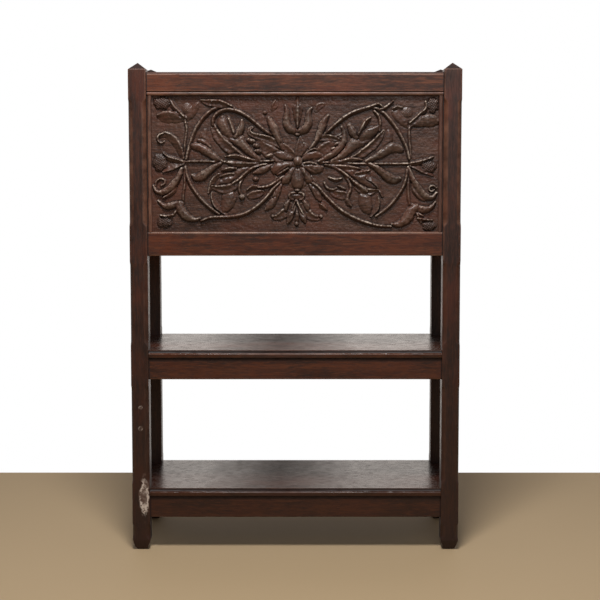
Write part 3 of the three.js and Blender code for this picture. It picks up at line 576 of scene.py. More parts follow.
# The stems and leaves, from the deepest to the highest. Each row is a section, a height as a share of
# the full relief, and the places that its middle runs through from root to tip: across and up from the
# panel's middle, and its half width there, in steps of which 141.8 make half the panel's width.
left_half = [
    ("leaf", 0.3, (-22, 54, 2), (-20, 58, 3.2), (-19, 62, 1.5)),
    ("roll", 0.5, (-47, -4, 2.5), (-56, -9, 4), (-64, -14, 5), (-72, -19, 4.5), (-79, -24, 2.5)),
    ("ridge", 0.75, (-59, -4.5, 1.5), (-66, -4.8, 2.5), (-72.5, -6.5, 1)),
    ("ridge", 0.7, (-61, -10, 1.5), (-68, -10.8, 2.4), (-74, -12.5, 1)),
    ("lean right", 0.75, (-76, -11, 2), (-80.5, -15.4, 2.6), (-83.3, -21.8, 2.4), (-85.5, -28.5, 1.1)),
    ("leaf", 0.55, (-33, -28, 2.5), (-38.5, -30, 4.4), (-45, -31.5, 3)),
    ("roll", 0.4, (-107, 45, 3), (-103.4, 49.5, 4.4), (-99.4, 54.5, 4), (-96, 59.4, 1.5)),
    ("roll", 0.45, (-85, 13, 3), (-89, 20, 4.5), (-91, 27, 4), (-89, 33, 2)),
    ("leaf", 0.62, (-15, 4.5, 4), (-21, 9.5, 6.5), (-28, 14.5, 7), (-34, 19.5, 5), (-39, 24, 2.2)),
    ("roll", 0.9, (-42, 22, 2.6), (-45.8, 23.4, 2.2)),
    ("roll", 0.95, (-37.3, 17.4, 2.5), (-40, 18.4, 2.2)),
    ("roll", 0.95, (-35.6, 12.2, 2.5), (-38.6, 12.6, 2.2)),
    ("roll", 0.9, (-24, 8.6, 2.4), (-27.5, 7.4, 2)),
    ("leaf", 0.8, (-49, 4.5, 2.5), (-58, 9.5, 4.5), (-65, 15.2, 5.2), (-71, 21, 5.2), (-76.5, 27.5, 4.6),
     (-80, 34, 3.2), (-81.5, 40, 1.8)),
    ("ribs", 0.66, (-15.2, -13, 3.4), (-17, -19, 4.6), (-18.4, -26, 4.2), (-19.2, -31, 3.2), (-20.2, -35.8, 2.2)),
    ("roll", 0.62, (-20, -34, 1.8), (-22.8, -38.4, 3.7), (-25.8, -42, 3.5), (-29.4, -45.2, 1.2)),
    ("stem", 0.68, (-109, 43, 1.2), (-107.4, 34, 1.3), (-108.3, 26, 1.4), (-109.3, 18, 1.4), (-110.5, 7, 1.3)),
    ("stem", 0.65, (-110, -4, 1.3), (-109.6, -14, 1.3), (-109.8, -22, 1.3), (-111, -29, 1.3), (-111.5, -38, 1.2)),
    ("stem", 0.78, (-22, 3, 1.4), (-45, 1.9, 1.4), (-70, 2.1, 1.3), (-95, 2.4, 1.3), (-116, 2.5, 1.5)),
    ("stem", 0.85, (-107.5, 5, 1.6), (-106, 12, 1.8), (-103.8, 20, 1.9), (-101, 28, 2), (-97.3, 35.8, 2.1),
     (-92.6, 43, 2.1), (-87, 49, 2), (-81, 53.6, 1.9), (-75, 56, 1.5)),
    ("stem", 0.82, (-108.7, -3, 1.5), (-106.9, -12.7, 1.9), (-102.4, -22.7, 2), (-96.9, -30.8, 2), (-90.5, -38.1, 2),
     (-83.3, -44.5, 1.9), (-76, -49.5, 1.5)),
    ("roll", 0.65, (-85, 17, 2), (-90.5, 21.3, 3), (-95.5, 23.3, 1.6)),
    ("roll", 0.85, (-73, 2.5, 2), (-80, 7, 3.4), (-87.5, 12.3, 4.2), (-94.5, 16.3, 4.3), (-101, 17.6, 3)),
    ("lean right", 0.85, (-109, 45, 2.6), (-114, 46, 4.6), (-121, 46.3, 6), (-128, 46.6, 5.6), (-134.5, 47.5, 2.4)),
    ("ridge", 0.85, (-110.5, 47, 2.2), (-115, 51.5, 2.4), (-119, 55.5, 2.6), (-122.3, 60, 2.6), (-124.5, 65, 1.1)),
    ("lean left", 0.75, (-112, 1.5, 2.4), (-119, -1.5, 3.6), (-125, -4, 3.2), (-130.5, -7, 1.6)),
    ("ridge", 0.95, (-112, 2.5, 2), (-119.5, 4.4, 2.7), (-126, 6.5, 2.5), (-130.5, 11, 0.9)),
    ("ridge", 0.8, (-112.2, 12.5, 1.6), (-114.6, 18.8, 2.4), (-117.2, 25, 1.3)),
    ("lean right", 0.72, (-111.5, 6, 2), (-114.5, 15, 3.2), (-119, 22.3, 4), (-124, 27.2, 3.6), (-129, 29.3, 2.8),
     (-133.5, 28, 1.9)),
    ("stem", 0.75, (-130.5, 30, 1.2), (-134.3, 28.6, 1.3), (-136, 25.5, 1.3), (-135, 22, 1.2), (-132, 20.6, 1.1),
     (-129.5, 22, 0.9)),
    ("stem", 0.65, (-138.6, -22, 1.1), (-137.6, -17.6, 1.2), (-133.8, -14.8, 1.2), (-129.6, -16.2, 1.2),
     (-129.6, -19.6, 1.2), (-133, -21.4, 1.1)),
    ("ridge", 0.92, (-118.5, -23, 1.6), (-121.5, -27.5, 2.4), (-126, -31, 2.3), (-131, -33.6, 1)),
    ("roll", 1.05, (-112.4, -4.5, 1.6), (-115, -11.5, 2.7), (-118.9, -18, 3.5), (-124.4, -24, 3.6),
     (-131.5, -28, 2.8), (-137.6, -27, 1.9), (-140.4, -21.5, 1.1)),
    ("stem", 0.62, (-114.5, -41, 1.3), (-117.5, -45.5, 1.3), (-121, -50.5, 1.3)),
    ("ridge", 0.88, (-133.5, -51, 1.2), (-128, -52, 1.7), (-122, -50.6, 1.4)),
    ("roll", 0.95, (-113, -39.4, 2.8), (-119, -40, 3.3), (-125, -41.8, 3.3), (-130.5, -41.2, 2.5), (-136, -36.3, 0.9)),
    ("roll", 0.98, (-115, -39, 3), (-113.4, -45, 4.6), (-110, -50, 4.8), (-105.4, -53.6, 3.7), (-100, -55.5, 2.2),
     (-95, -54, 1.2)),
    ("leaf", 0.9, (-61, 54, 2), (-67, 56.8, 3.4), (-74, 59, 4.2), (-81, 60, 4), (-87, 60.6, 2.9), (-92.5, 62.5, 1)),
    ("stem", 0.95, (-24, 29, 1.6), (-31, 33.8, 1.9), (-37.5, 39.2, 2), (-44.5, 44.9, 2.1), (-51, 49.2, 2.1),
     (-58, 52.2, 2.1), (-65, 53.5, 2.1), (-72, 52.5, 2.1), (-77.5, 49.3, 2), (-80.8, 44.5, 1.9), (-81.5, 38.5, 1.6)),
    ("lean right", 0.88, (-82.4, -29, 1.3), (-81, -36, 2.3), (-77.5, -41.8, 2.6), (-73, -46, 2.2), (-68, -50, 1.4)),
    ("roll", 0.6, (-65, -26.4, 3.4), (-65.6, -33, 6.8), (-67.4, -40, 6.4), (-71.3, -45.8, 2.8)),
    ("leaf", 0.8, (-55, -18, 2.2), (-62, -22.5, 4), (-69, -24.8, 4.6), (-76, -24.5, 3.6), (-82.5, -22.5, 1.4)),
    ("stem", 0.95, (-15, -17.5, 1.6), (-22.5, -25.5, 1.9), (-28.3, -32.8, 2), (-34.3, -38.8, 2.1), (-41, -44.2, 2.1),
     (-48.5, -48.5, 2.1), (-56.3, -51.2, 2.1), (-65, -52.5, 1.9), (-75, -52.6, 1.8), (-85, -53.4, 1.6),
     (-93.5, -56.5, 1.2)),
    ("stem", 0.8, (-51, -11, 1.3), (-54.6, -19, 1.5), (-55.6, -26, 1.5), (-53.3, -31, 1.5)),
    ("stem", 0.95, (-28, -0.5, 1.5), (-36, -1.6, 1.6), (-41.5, -3.6, 1.7), (-46.5, -7.2, 1.8), (-51, -11, 1.8),
     (-55.5, -15.3, 1.7), (-62, -19.3, 1.3)),
    ("ridge", 0.75, (-33.5, -23.5, 1.4), (-40, -22.3, 2), (-44, -23, 1.9), (-47.8, -25.8, 1)),
    ("stem", 0.92, (-9, -11, 1.5), (-14, -14.3, 1.8), (-19, -17.6, 1.8), (-24, -20.8, 1.7), (-30, -22.8, 1.5),
     (-36.5, -23, 1.1)),
    ("roll", 0.78, (-23, -1.8, 2.4), (-30, -4.8, 3.6), (-36, -7.2, 3), (-41, -9, 1.2)),
    ("ridge", 0.8, (-37, 0.5, 1.8), (-50, -0.2, 2.9), (-60, 0, 2.7), (-67.5, 1.2, 1)),
    ("ridge", 1.0, (-34, 2.5, 1.6), (-45, 4.3, 2.3), (-54, 6.8, 2.7), (-61, 7.8, 2.4), (-69, 7.2, 0.9)),
    ("roll", 1.0, (-74, 0.5, 2), (-81, -3.5, 3), (-87, -8, 4), (-92.5, -12, 4.6), (-98, -13.8, 3.6),
     (-101.8, -11, 1.4)),
    ("roll", 0.85, (-36, 4.8, 2.4), (-42.5, 9.6, 3.2), (-48.3, 15.2, 4.2), (-53.8, 21, 5.4), (-59, 26.5, 7),
     (-65, 31.5, 7)),
    ("roll", 0.8, (-62, 30, 5), (-67.5, 34, 6.4), (-71, 39.5, 6), (-72, 45.5, 2.6)),
    ("roll", 1.1, (-58.5, 27.5, 3), (-55, 32, 3.6), (-52.8, 37, 3.3), (-52.4, 43, 1.2)),
    ("ridge", 1.15, (-61, 31, 2.2), (-63.3, 38, 3.2), (-65.6, 44.5, 2)),
    ("leaf", 0.85, (-8, 15, 2.2), (-16, 19, 3.4), (-23, 22.6, 3.8), (-30, 25.4, 3.6), (-36.5, 27, 3),
     (-41.5, 28.4, 2.6), (-45, 31, 2.2), (-45, 34.5, 1.7), (-42.3, 36.2, 1.2)),
    ("roll", 1.0, (-12, 14.5, 1.8), (-15.2, 22, 2.8), (-18.4, 29, 3.9), (-21.3, 35.5, 4.2), (-24, 41, 3.4),
     (-26.3, 45.3, 1.5)),
]
right_half = [
    ("leaf", 0.3, (21, 53, 2), (24, 57, 3.2), (28, 58.5, 1.6)),
    ("roll", 0.5, (47, -4, 2.5), (57, -8.5, 4), (66, -13.5, 5.4), (74, -18.5, 5.4), (80, -24, 3)),
    ("ridge", 0.75, (60, -9.5, 1.5), (67, -8.4, 2.5), (74, -6.4, 1)),
    ("lean right", 0.8, (72, -14, 2), (78, -17, 2.6), (82.5, -21.5, 2.5), (86.8, -32, 1.2)),
    ("leaf", 0.55, (37, -28, 2.5), (42, -30, 4.6), (47.5, -31, 4.4), (51, -31, 2)),
    ("roll", 0.36, (112, 37.5, 2.6), (106.5, 42.4, 4.2), (101.5, 47, 4.4), (96.5, 51.5, 1.6)),
    ("roll", 0.4, (87, 13, 3), (91, 20, 4.4), (93, 27, 3.6), (92, 32, 1.8)),
    ("leaf", 0.6, (18, 7, 3), (26, 12, 6), (34.5, 17.5, 7), (42, 23.5, 5), (48, 29, 2.2)),
    ("roll", 0.95, (43.6, 24.2, 2.6), (48.6, 27.6, 2.2)),
    ("roll", 0.95, (41.5, 19.2, 2.6), (46.3, 20.6, 2.1)),
    ("roll", 0.9, (38.2, 14.2, 2.6), (43.4, 15.6, 2)),
    ("leaf", 0.85, (53, 3.5, 2), (63, 8, 3.6), (71.5, 14, 4.4), (79, 20.5, 4.2), (84, 27, 3.1), (87.5, 32.5, 1.2)),
    ("ribs", 0.62, (15, -14, 3), (17.6, -20, 4.2), (20, -26, 3.8), (22.6, -31.5, 3.3), (24.6, -35.4, 1.8)),
    ("ridge", 0.75, (24, -39.6, 1), (27.4, -41.9, 2.8), (31.4, -45.4, 0.9)),
    ("stem", 0.7, (113.8, 41, 1.5), (112.6, 32, 1.6), (113, 24, 1.6), (113.7, 14, 1.6), (114, 3, 1.5)),
    ("stem", 0.6, (113, -4, 1.5), (112.2, -15, 1.7), (112, -25, 1.8), (112.6, -35, 1.7), (114.5, -43, 1.5)),
    ("stem", 0.76, (25, 1.5, 1.4), (50, 0.4, 1.4), (75, -0.2, 1.3), (95, -0.2, 1.3), (118, 0, 1.5)),
    ("stem", 0.88, (113, 5, 1.6), (110.5, 15, 1.9), (106.8, 23.5, 2), (102.8, 31, 2.1), (98, 38.2, 2.1),
     (92.8, 44.6, 2.1), (87.6, 50, 1.9), (81.5, 54, 1.6), (75, 56, 1.3)),
    ("stem", 0.86, (112, -3, 1.5), (109.8, -14, 1.9), (106.8, -23, 1.9), (102, -31, 2), (96.5, -38.3, 2),
     (89.3, -45.3, 1.9), (80.5, -51.5, 1.5)),
    ("roll", 0.85, (71, 2.5, 2), (80, 6.8, 3.2), (88, 11.3, 4.1), (94.5, 15.5, 4.9), (100.5, 15.6, 4.6),
     (105, 13.5, 2.6)),
    ("roll", 0.8, (114.5, 39, 2.6), (121, 41.5, 5), (128, 42.7, 6.2), (134, 42.8, 6), (139.5, 42, 3.6)),
    ("ridge", 0.95, (113.8, 40.5, 2), (119, 45, 2.2), (123.8, 49.6, 2.3), (127.8, 52.8, 2.2), (129.6, 57, 1.7),
     (128.6, 61.5, 1)),
    ("lean right", 0.7, (115, -1, 2), (121.5, -3.6, 2.9), (128.5, -7, 2.8), (136, -11, 1.4)),
    ("ridge", 0.95, (115, 0.5, 1.9), (122, 1.5, 2.6), (129, 3.4, 2.3), (136.5, 7, 0.9)),
    ("roll", 0.85, (116.6, -20, 1.8), (119.4, -26.5, 3.1), (123.8, -32, 2.9), (128, -36, 1.2)),
    ("roll", 1.05, (112.8, -4.5, 1.5), (115.3, -13, 2.5), (119.6, -20.6, 3.2), (124.8, -27.6, 3.5),
     (130.4, -33, 3.2), (136, -33.4, 2.3), (140, -28.6, 1.4)),
    ("stem", 0.8, (140, -23.8, 1), (136.6, -21.6, 1.1), (133.4, -23, 1.1), (133, -26, 1), (135.6, -27.4, 1),
     (137.8, -25.8, 0.8)),
    ("ridge", 0.65, (119, -46, 2), (122.5, -49.5, 2.3), (126.5, -51.5, 1.3)),
    ("stem", 0.6, (120, -47, 1.3), (122, -52, 1.3), (125, -58, 1.2)),
    ("ridge", 0.85, (122, -54.2, 1.3), (128, -55.4, 1.7), (135.5, -56, 1.2)),
    ("roll", 0.92, (117, -42, 2.8), (123.5, -44.6, 3.6), (130, -45.3, 3.3), (135.3, -42.8, 2.3), (139, -37.5, 0.9)),
    ("roll", 0.98, (119.5, -43, 3.6), (114.8, -47.4, 5.2), (111.6, -53, 5.2), (107, -58, 4), (101.5, -60.4, 2.8),
     (96.5, -59.8, 1.4)),
    ("stem", 0.85, (84.5, 53.5, 1.5), (89.5, 55.8, 1.9), (93.2, 58.6, 1.6), (96.8, 62.2, 0.8)),
    ("ridge", 0.55, (97, 54.5, 1.6), (101, 56, 2), (105.5, 55.5, 1)),
    ("stem", 0.88, (78, 52, 1.4), (82.3, 46.8, 1.6), (83.8, 40.5, 1.6), (83.2, 33, 1.3)),
    ("stem", 0.95, (26, 26, 1.5), (33, 32.3, 1.9), (38, 37, 2), (44.3, 42.3, 2.1), (51.3, 47.3, 2.1),
     (58.5, 51, 2.1), (66, 53.6, 2.1), (73, 55.6, 1.9), (78.5, 57.8, 1.7), (82.3, 58.8, 1.5), (86, 56.4, 1)),
    ("lean left", 0.85, (81.8, -32, 1.2), (81.8, -39, 2.5), (79.3, -45.5, 2.8), (75, -51, 1.8)),
    ("roll", 0.6, (69, -29, 3.4), (69.2, -35, 6.6), (70.2, -41.4, 6.2), (73, -47.5, 2.6)),
    ("leaf", 0.75, (61, -23, 2.6), (67.5, -26.4, 3.6), (74.5, -27.6, 3.2), (82, -26, 1.3)),
    ("stem", 0.95, (17, -19, 1.6), (22, -22.5, 1.8), (27, -28, 1.9), (32.3, -34, 2), (38.5, -40.2, 2.1),
     (45, -45.8, 2.1), (51.5, -50, 2.1), (58.5, -53.7, 2.1), (66.5, -57, 1.9), (75.5, -59.8, 1.8), (85, -61.8, 1.6),
     (95, -62, 1.2)),
    ("stem", 0.85, (48.5, -10, 1.4), (53, -17, 1.7), (54.8, -24.5, 1.8), (52.6, -30.5, 1.9), (51.6, -35, 2.2),
     (53.2, -39, 2.8), (55.2, -41.5, 1.4)),
    ("stem", 1.0, (30, -1, 1.4), (38.5, -3.3, 1.5), (44.3, -6.3, 1.6), (49.3, -10.2, 1.7), (54, -14, 1.7),
     (58.8, -18.5, 1.9), (63.6, -22.3, 2.6), (68.2, -25.6, 3.4), (71, -27.6, 1.6)),
    ("stem", 0.75, (28.6, -18.2, 1.2), (30.4, -22.2, 1.5), (33.6, -25, 1.5), (38, -25.6, 1.4), (41, -24.3, 0.9)),
    ("ridge", 0.85, (33.5, -13.6, 1.2), (40, -15.8, 2.3), (46.5, -14.2, 1)),
    ("ridge", 0.7, (43, -22, 1.1), (46.5, -23.6, 1.7), (50, -25, 1)),
    ("ridge", 0.78, (34, -1.5, 1.8), (46, -2.6, 2.6), (56, -3.6, 2.4), (64, -4.6, 0.9)),
    ("ridge", 1.0, (36, 0.8, 1.7), (47, 3, 2.4), (57, 4.5, 2.6), (66, 4, 1)),
    ("roll", 1.0, (74, -0.5, 2), (80.5, -4, 2.9), (86.2, -8.5, 3.8), (91.8, -12.8, 4.5), (97.5, -15.6, 4.6),
     (103, -14.8, 2.4)),
    ("roll", 0.9, (24, 2.5, 1.8), (31.5, 6.6, 2.6), (37.8, 9.8, 3.2), (43, 14.4, 3.6), (46.8, 20, 3.6),
     (48.6, 26, 3), (48.4, 31.5, 2.2), (46, 36.5, 1.2)),
    ("roll", 0.88, (37, 2.8, 2), (44.5, 6.6, 3), (50.6, 11.8, 4), (56.4, 17.6, 5.4), (62.6, 23.4, 7), (70, 28, 7.2)),
    ("roll", 0.85, (66, 27, 5), (72.5, 30, 5.4), (78.5, 33.4, 4), (82, 36.4, 1.8)),
    ("roll", 0.98, (60, 27, 3.4), (56.8, 32, 4), (54, 37.5, 2.8)),
    ("ridge", 1.15, (62.8, 29.4, 2), (66.2, 35.6, 2.9), (69.4, 41.2, 2.8), (74, 45.4, 1.3)),
    ("leaf", 0.8, (21, 24, 2.6), (29, 26, 3.2), (37, 25.4, 3), (44, 23.4, 1.4)),
    ("roll", 1.0, (14.4, 13.5, 1.6), (20.2, 21.6, 2.1), (24.2, 30, 3.2), (26.8, 37.4, 3.9), (29.2, 43, 3),
     (32.8, 47.8, 1.3)),
]
# The middle flower, the tulip above it and the pendant leaves below it.
middle = [
    ("leaf", 0.7, (-5, -40, 2.6), (-8.6, -46.5, 4.2), (-14, -51, 4.2), (-19, -53, 2.8), (-22.8, -52.2, 1.2)),
    ("leaf", 0.66, (6.6, -41, 2.6), (10.4, -47.2, 4.4), (15.6, -51.8, 4), (21.2, -53.6, 2.8), (25.6, -52.4, 1.3)),
    ("leaf", 0.5, (1, 6, 2.6), (-5, 11.5, 4), (-9.4, 15.8, 3.4), (-13, 20, 1.4)),
    ("leaf", 0.45, (2.8, 7, 2.6), (4.3, 14, 4.3), (5.3, 20, 3.8), (5, 25.5, 1.4)),
    ("roll", 0.5, (6.4, 9, 1.4), (9.6, 13.6, 2.6), (10.8, 17.4, 2.4), (8.4, 20.4, 1)),
    ("ridge", 0.8, (9, 8.4, 1.4), (13.6, 12, 1.9), (18.6, 14.6, 1.7), (21.4, 14.4, 0.9)),
    ("roll", 0.55, (-5, 5, 2.4), (-11, 7.6, 4.2), (-16.4, 9.4, 3.4), (-20, 10, 1.4)),
    ("roll", 0.6, (8, 4.4, 2.4), (14, 7.8, 3.8), (20, 9, 3.8), (26.5, 7.8, 1.8)),
    ("roll", 0.5, (2.4, -2, 7), (2.4, -8, 11), (2.4, -14, 11), (2.4, -19, 6)),
    ("roll", 0.76, (-1, -1, 3), (-8, -1.8, 4.4), (-14.6, -4, 5.8), (-19.6, -5.4, 4.6), (-23, -4, 1.8)),
    ("roll", 0.8, (6, -1, 3), (13, -2.4, 4.4), (18.6, -4.6, 5.4), (23.4, -5, 4), (27, -3.4, 1.6)),
    ("ridge", 0.9, (-7, -4.6, 1.4), (-12.5, -8, 1.7), (-17.6, -11, 1)),
    ("ridge", 0.92, (9, 0.6, 1.3), (14, 1.2, 1.7), (20.4, 0.2, 1)),
    ("roll", 0.78, (-1.6, -6, 3), (-5.6, -11.4, 4.4), (-9, -15.6, 4), (-12, -18.4, 1.6)),
    ("roll", 0.78, (6.4, -6, 3), (10, -11.4, 4.4), (13, -15.2, 3.8), (15.4, -17.8, 1.5)),
    ("roll", 0.86, (2.4, -7, 3), (2.4, -13, 5.4), (2.4, -18, 6.6), (2.4, -22.8, 3.2)),
    ("fold", 0.2, (-4, -1, 0.9), (-4.6, -4.6, 1.8), (-5.2, -9, 0.9)),
    ("fold", 0.2, (8.2, -1, 0.9), (8.8, -4.6, 1.8), (9.4, -9, 0.9)),
    ("fold", -0.3, (2.4, -4, 1), (2.5, -9, 2), (2.5, -14.6, 0.9)),
    ("fold", -0.16, (-2, -12, 0.8), (-4.4, -16.4, 1.5), (-5, -20.4, 0.8)),
    ("fold", -0.16, (6.8, -12, 0.8), (9, -16.2, 1.5), (9.6, -20, 0.8)),
    ("fold", -0.16, (-10, -1.6, 0.8), (-15.4, -5.4, 1.6), (-20, -9.6, 0.8)),
    ("fold", -0.14, (12, -3, 0.8), (18, -6, 1.6), (22.4, -9, 0.8)),
    ("roll", 0.9, (0.6, 32, 3.2), (-5.2, 34.6, 4), (-8.4, 40, 3.9), (-8.4, 46, 3.2), (-8, 51.6, 2.5),
     (-9.8, 57.4, 1.2)),
    ("roll", 0.9, (4.4, 32, 3.2), (9.8, 34.4, 4), (13, 39.6, 3.9), (13.2, 45.6, 3.1), (13.6, 51, 2.4),
     (16.4, 55.4, 1.2)),
    ("ridge", 1.05, (2.3, 36, 1.2), (2.3, 43, 2.6), (2.5, 50, 4.4), (2.6, 55, 4.8), (2.6, 61, 1.2)),
    ("ridge", 0.4, (2, 60, 2.4), (2.6, 65, 1.4)),
    ("roll", 0.98, (-5.6, -35.6, 1.4), (-8.2, -39.6, 2.3), (-9, -43, 2.1), (-9.1, -46.8, 0.9)),
    ("roll", 0.9, (7.6, -35.6, 1.4), (10.4, -39.4, 2.8), (11.8, -42.6, 2.6), (12.2, -46, 1)),
    ("roll", 0.85, (-0.6, -42, 1.4), (-3.2, -48, 2.6), (-5.4, -53.6, 3), (-7.4, -58.4, 1.3)),
    ("roll", 0.8, (4, -45, 1.3), (6.6, -50, 2.6), (8.4, -54.2, 2.7), (9.8, -58, 1.2)),
    ("fold", -0.26, (-3.6, -48.6, 0.9), (-4.6, -52.4, 1.6), (-5.8, -56, 0.8)),
    ("roll", 0.65, (1.6, -47, 1.3), (1.8, -53, 1.9), (1.6, -58, 2)),
    ("stem", 0.85, (1.2, -35.6, 1.1), (3.2, -41, 1.3), (6, -46.6, 1.2), (8, -50, 0.8)),
    ("ridge", 0.7, (0.4, -36, 1), (-1.6, -41, 1.2), (-3.4, -46, 0.8)),
    ("roll", 0.84, (1, -28.8, 1), (-3, -29, 1.6), (-5.4, -31.2, 1.9), (-4.6, -34, 1.6), (-2, -35.2, 1)),
    ("roll", 0.84, (3.2, -28.8, 1), (6.2, -29, 1.6), (7.8, -31.4, 1.9), (6.8, -34.2, 1.5), (4.4, -35.4, 1)),
    ("roll", 0.5, (-3, -32, 2), (1, -32.4, 2.8), (5.2, -32, 2)),
]
# Buds, berries and seed heads: a place, half its width and half its height in the same steps, a height
# share, and how it is textured.
buds = [
    (-134, 1.5, 7, 8.5, 0.6, "seeds"), (-131.5, 60, 8.5, 6, 0.55, "seeds"), (-130, -58, 7.5, 5.5, 0.5, "seeds"),
    (-107, 54.5, 5.2, 5.6, 0.3, "hatch"), (-29.6, 50.6, 1.9, 2.2, 0.6, "plain"), (-39, -14.8, 3.2, 2.4, 0.85, "plain"),
    (-52.8, -32.6, 2.8, 3, 1.0, "plain"), (-22.6, -51.6, 1.7, 1.7, 0.75, "plain"),
    (132.5, -2.6, 7.5, 6, 0.55, "seeds"), (136, 58, 5.5, 7.8, 0.55, "seeds"), (133, -61.5, 7, 4.8, 0.5, "seeds"),
    (110.5, 50.5, 6, 5.2, 0.28, "hatch"),
    (25.6, -52, 1.6, 2, 0.8, "plain"), (2.3, 29, 2.2, 1.7, 0.85, "plain"), (2, -25.9, 2.6, 1.5, 0.9, "plain"),
    (1.5, -59.4, 2, 2.3, 0.75, "plain"), (2.6, 2.8, 4.6, 4.6, 1.15, "boss"),
]

# How high each kind of section stands across its width, from its right edge to its left edge. A leaf
# rises gently from below to a crisp rim along its upper edge. A fold is added to the form it lies on.
sections = {
    "stem": ((-1, 0), (-0.92, 0.25), (-0.55, 0.58), (-0.2, 0.9), (0, 1), (0.2, 0.95), (0.6, 0.7), (0.92, 0.3), (1, 0)),
    "ridge": ((-1, 0), (-0.93, 0.25), (-0.5, 0.5), (-0.12, 0.97), (0.12, 0.97), (0.5, 0.5), (0.93, 0.25), (1, 0)),
    "roll": ((-1, 0), (-0.95, 0.3), (-0.75, 0.6), (-0.35, 0.86), (0, 1), (0.35, 0.93), (0.75, 0.68), (0.95, 0.35),
     (1, 0)),
    "lean left": ((-1, 0), (-0.95, 0.12), (-0.4, 0.36), (0.2, 0.7), (0.62, 1), (0.85, 0.92), (0.95, 0.5), (1, 0)),
    "leaf": ((-1, 0), (-0.95, 0.3), (-0.82, 0.52), (-0.6, 0.46), (-0.15, 0.38), (0.3, 0.55), (0.66, 1), (0.84, 0.95),
     (0.95, 0.5), (1, 0)),
    "fold": ((-1, 0), (-0.7, 0.15), (-0.3, 0.8), (0, 1), (0.3, 0.8), (0.7, 0.15), (1, 0)),
    "ribs": ((-1, 0), (-0.9, 0.7), (-0.45, 0.9), (-0.3, 0.7), (0, 1), (0.3, 0.7), (0.45, 0.9), (0.9, 0.7), (1, 0)),
}
sections["lean right"] = tuple((-across, up) for across, up in reversed(sections["lean left"]))

step = sight_half_x / 141.8
columns, rows = 452, 214
fine = 2
grid_x = np.linspace(-sight_half_x - panel_margin, sight_half_x + panel_margin, columns * fine - 1)
grid_z = np.linspace(-sight_half_z - panel_margin, sight_half_z + panel_margin, rows * fine - 1)
height = np.zeros((len(grid_z), len(grid_x)))
punched = np.zeros_like(height)


def smooth_line(places):
    """A finer line through the places of a stem or leaf, each with its half width, in millimetres."""
    p = np.array(places) * step
    p = np.vstack([2 * p[0] - p[1], p, 2 * p[-1] - p[-2]])
    fine_line = []
    for i in range(1, len(p) - 2):
        for t in np.linspace(0, 1, 9)[:-1]:
            fine_line.append(0.5 * (
                2 * p[i] + (p[i + 1] - p[i - 1]) * t + (2 * p[i - 1] - 5 * p[i] + 4 * p[i + 1] - p[i + 2]) * t * t
                + (3 * p[i] - p[i - 1] - 3 * p[i + 1] + p[i + 2]) * t ** 3
            ))
    fine_line.append(p[-2])
    return np.array(fine_line)


def window(low_x, high_x, low_z, high_z):
    """The part of the grid between two corners, as slices, and its points."""
    across = slice(*np.searchsorted(grid_x, (low_x, high_x)))
    up = slice(*np.searchsorted(grid_z, (low_z, high_z)))
    return (up, across), *np.meshgrid(grid_x[across], grid_z[up])


def lay_over(part, shape, edge):
    """Sets a carved form on what is there. edge is how far outside the form a point is, in millimetres.
    What lies beside a form is cut down a little, so that each stands clear of its neighbours."""
    beside = np.where(edge > 0, np.exp(-(edge / 1.5) ** 2), 1)
    under = height[part]
    under = under - beside * (0.45 + 0.36 * np.maximum(under, 0))
    height[part] = np.where(edge < 0, np.maximum(under, shape), under)


def carve_row(kind, rise, *places):
    """Carves one stem or leaf."""
    line = smooth_line(places)
    reach = line[:, 2].max() + 4
    (low_x, low_z), (high_x, high_z) = line[:, :2].min(0) - reach, line[:, :2].max(0) + reach
    part, x, z = window(low_x, high_x, low_z, high_z)
    start, run = line[:-1], np.diff(line, axis=0)
    length2 = np.maximum((run[:, :2] ** 2).sum(1), 1e-9)
    dx = x[..., None] - start[:, 0]
    dz = z[..., None] - start[:, 1]
    t = np.clip((dx * run[:, 0] + dz * run[:, 1]) / length2, 0, 1)
    away = np.hypot(dx - t * run[:, 0], dz - t * run[:, 1])
    width = start[:, 2] + t * run[:, 2]
    nearest = np.argmin(away / np.maximum(width, 0.3), axis=2)[..., None]
    take = lambda values: np.take_along_axis(np.broadcast_to(values, dx.shape), nearest, 2)[..., 0]
    side = np.sign(take(run[:, 0] * dz - run[:, 1] * dx))
    away, width = take(away), np.maximum(take(width), 0.3)
    along = (nearest[..., 0] + take(t)) / len(run)
    travel = along * np.sqrt(length2).sum()
    # The knife never left an edge quite even.
    width = width * (1 + 0.05 * np.sin(travel / 3.1 + 7 * places[0][0]) + 0.04 * np.sin(travel / 1.4 + places[0][1]))
    across = side * away / width
    if kind == "leaf" and places[-1][0] < places[0][0]:
        across = -across
    if kind in ("stem", "ridge", "roll"):
        # The crest runs nearer to the upper edge.
        crest = 0.45 * take(run[:, 0] / np.sqrt(length2))
        across = (across - crest) / (1 - np.sign(across - crest) * crest)
    shape = np.interp(across, *zip(*sections[kind]))
    if kind in ("stem", "ridge"):
        shape = shape * (1 - 0.12 * along)
    else:
        shape = shape * (0.72 + 0.28 * np.sin(pi * np.clip(along * 0.95 + 0.08, 0, 1)))
    shape = shape * rise * relief
    if kind not in ("stem", "ridge", "roll"):
        # Veins run out from the middle of a leaf towards its edges.
        veins = np.sin(2 * pi * (travel / 6.5 - np.abs(across) * 0.8))
        shape += 0.16 * veins * np.clip(1.1 - np.abs(across), 0, 0.6)
    if kind == "fold":
        height[part] += np.where(away < width, shape, 0)
    else:
        lay_over(part, shape, away - width)


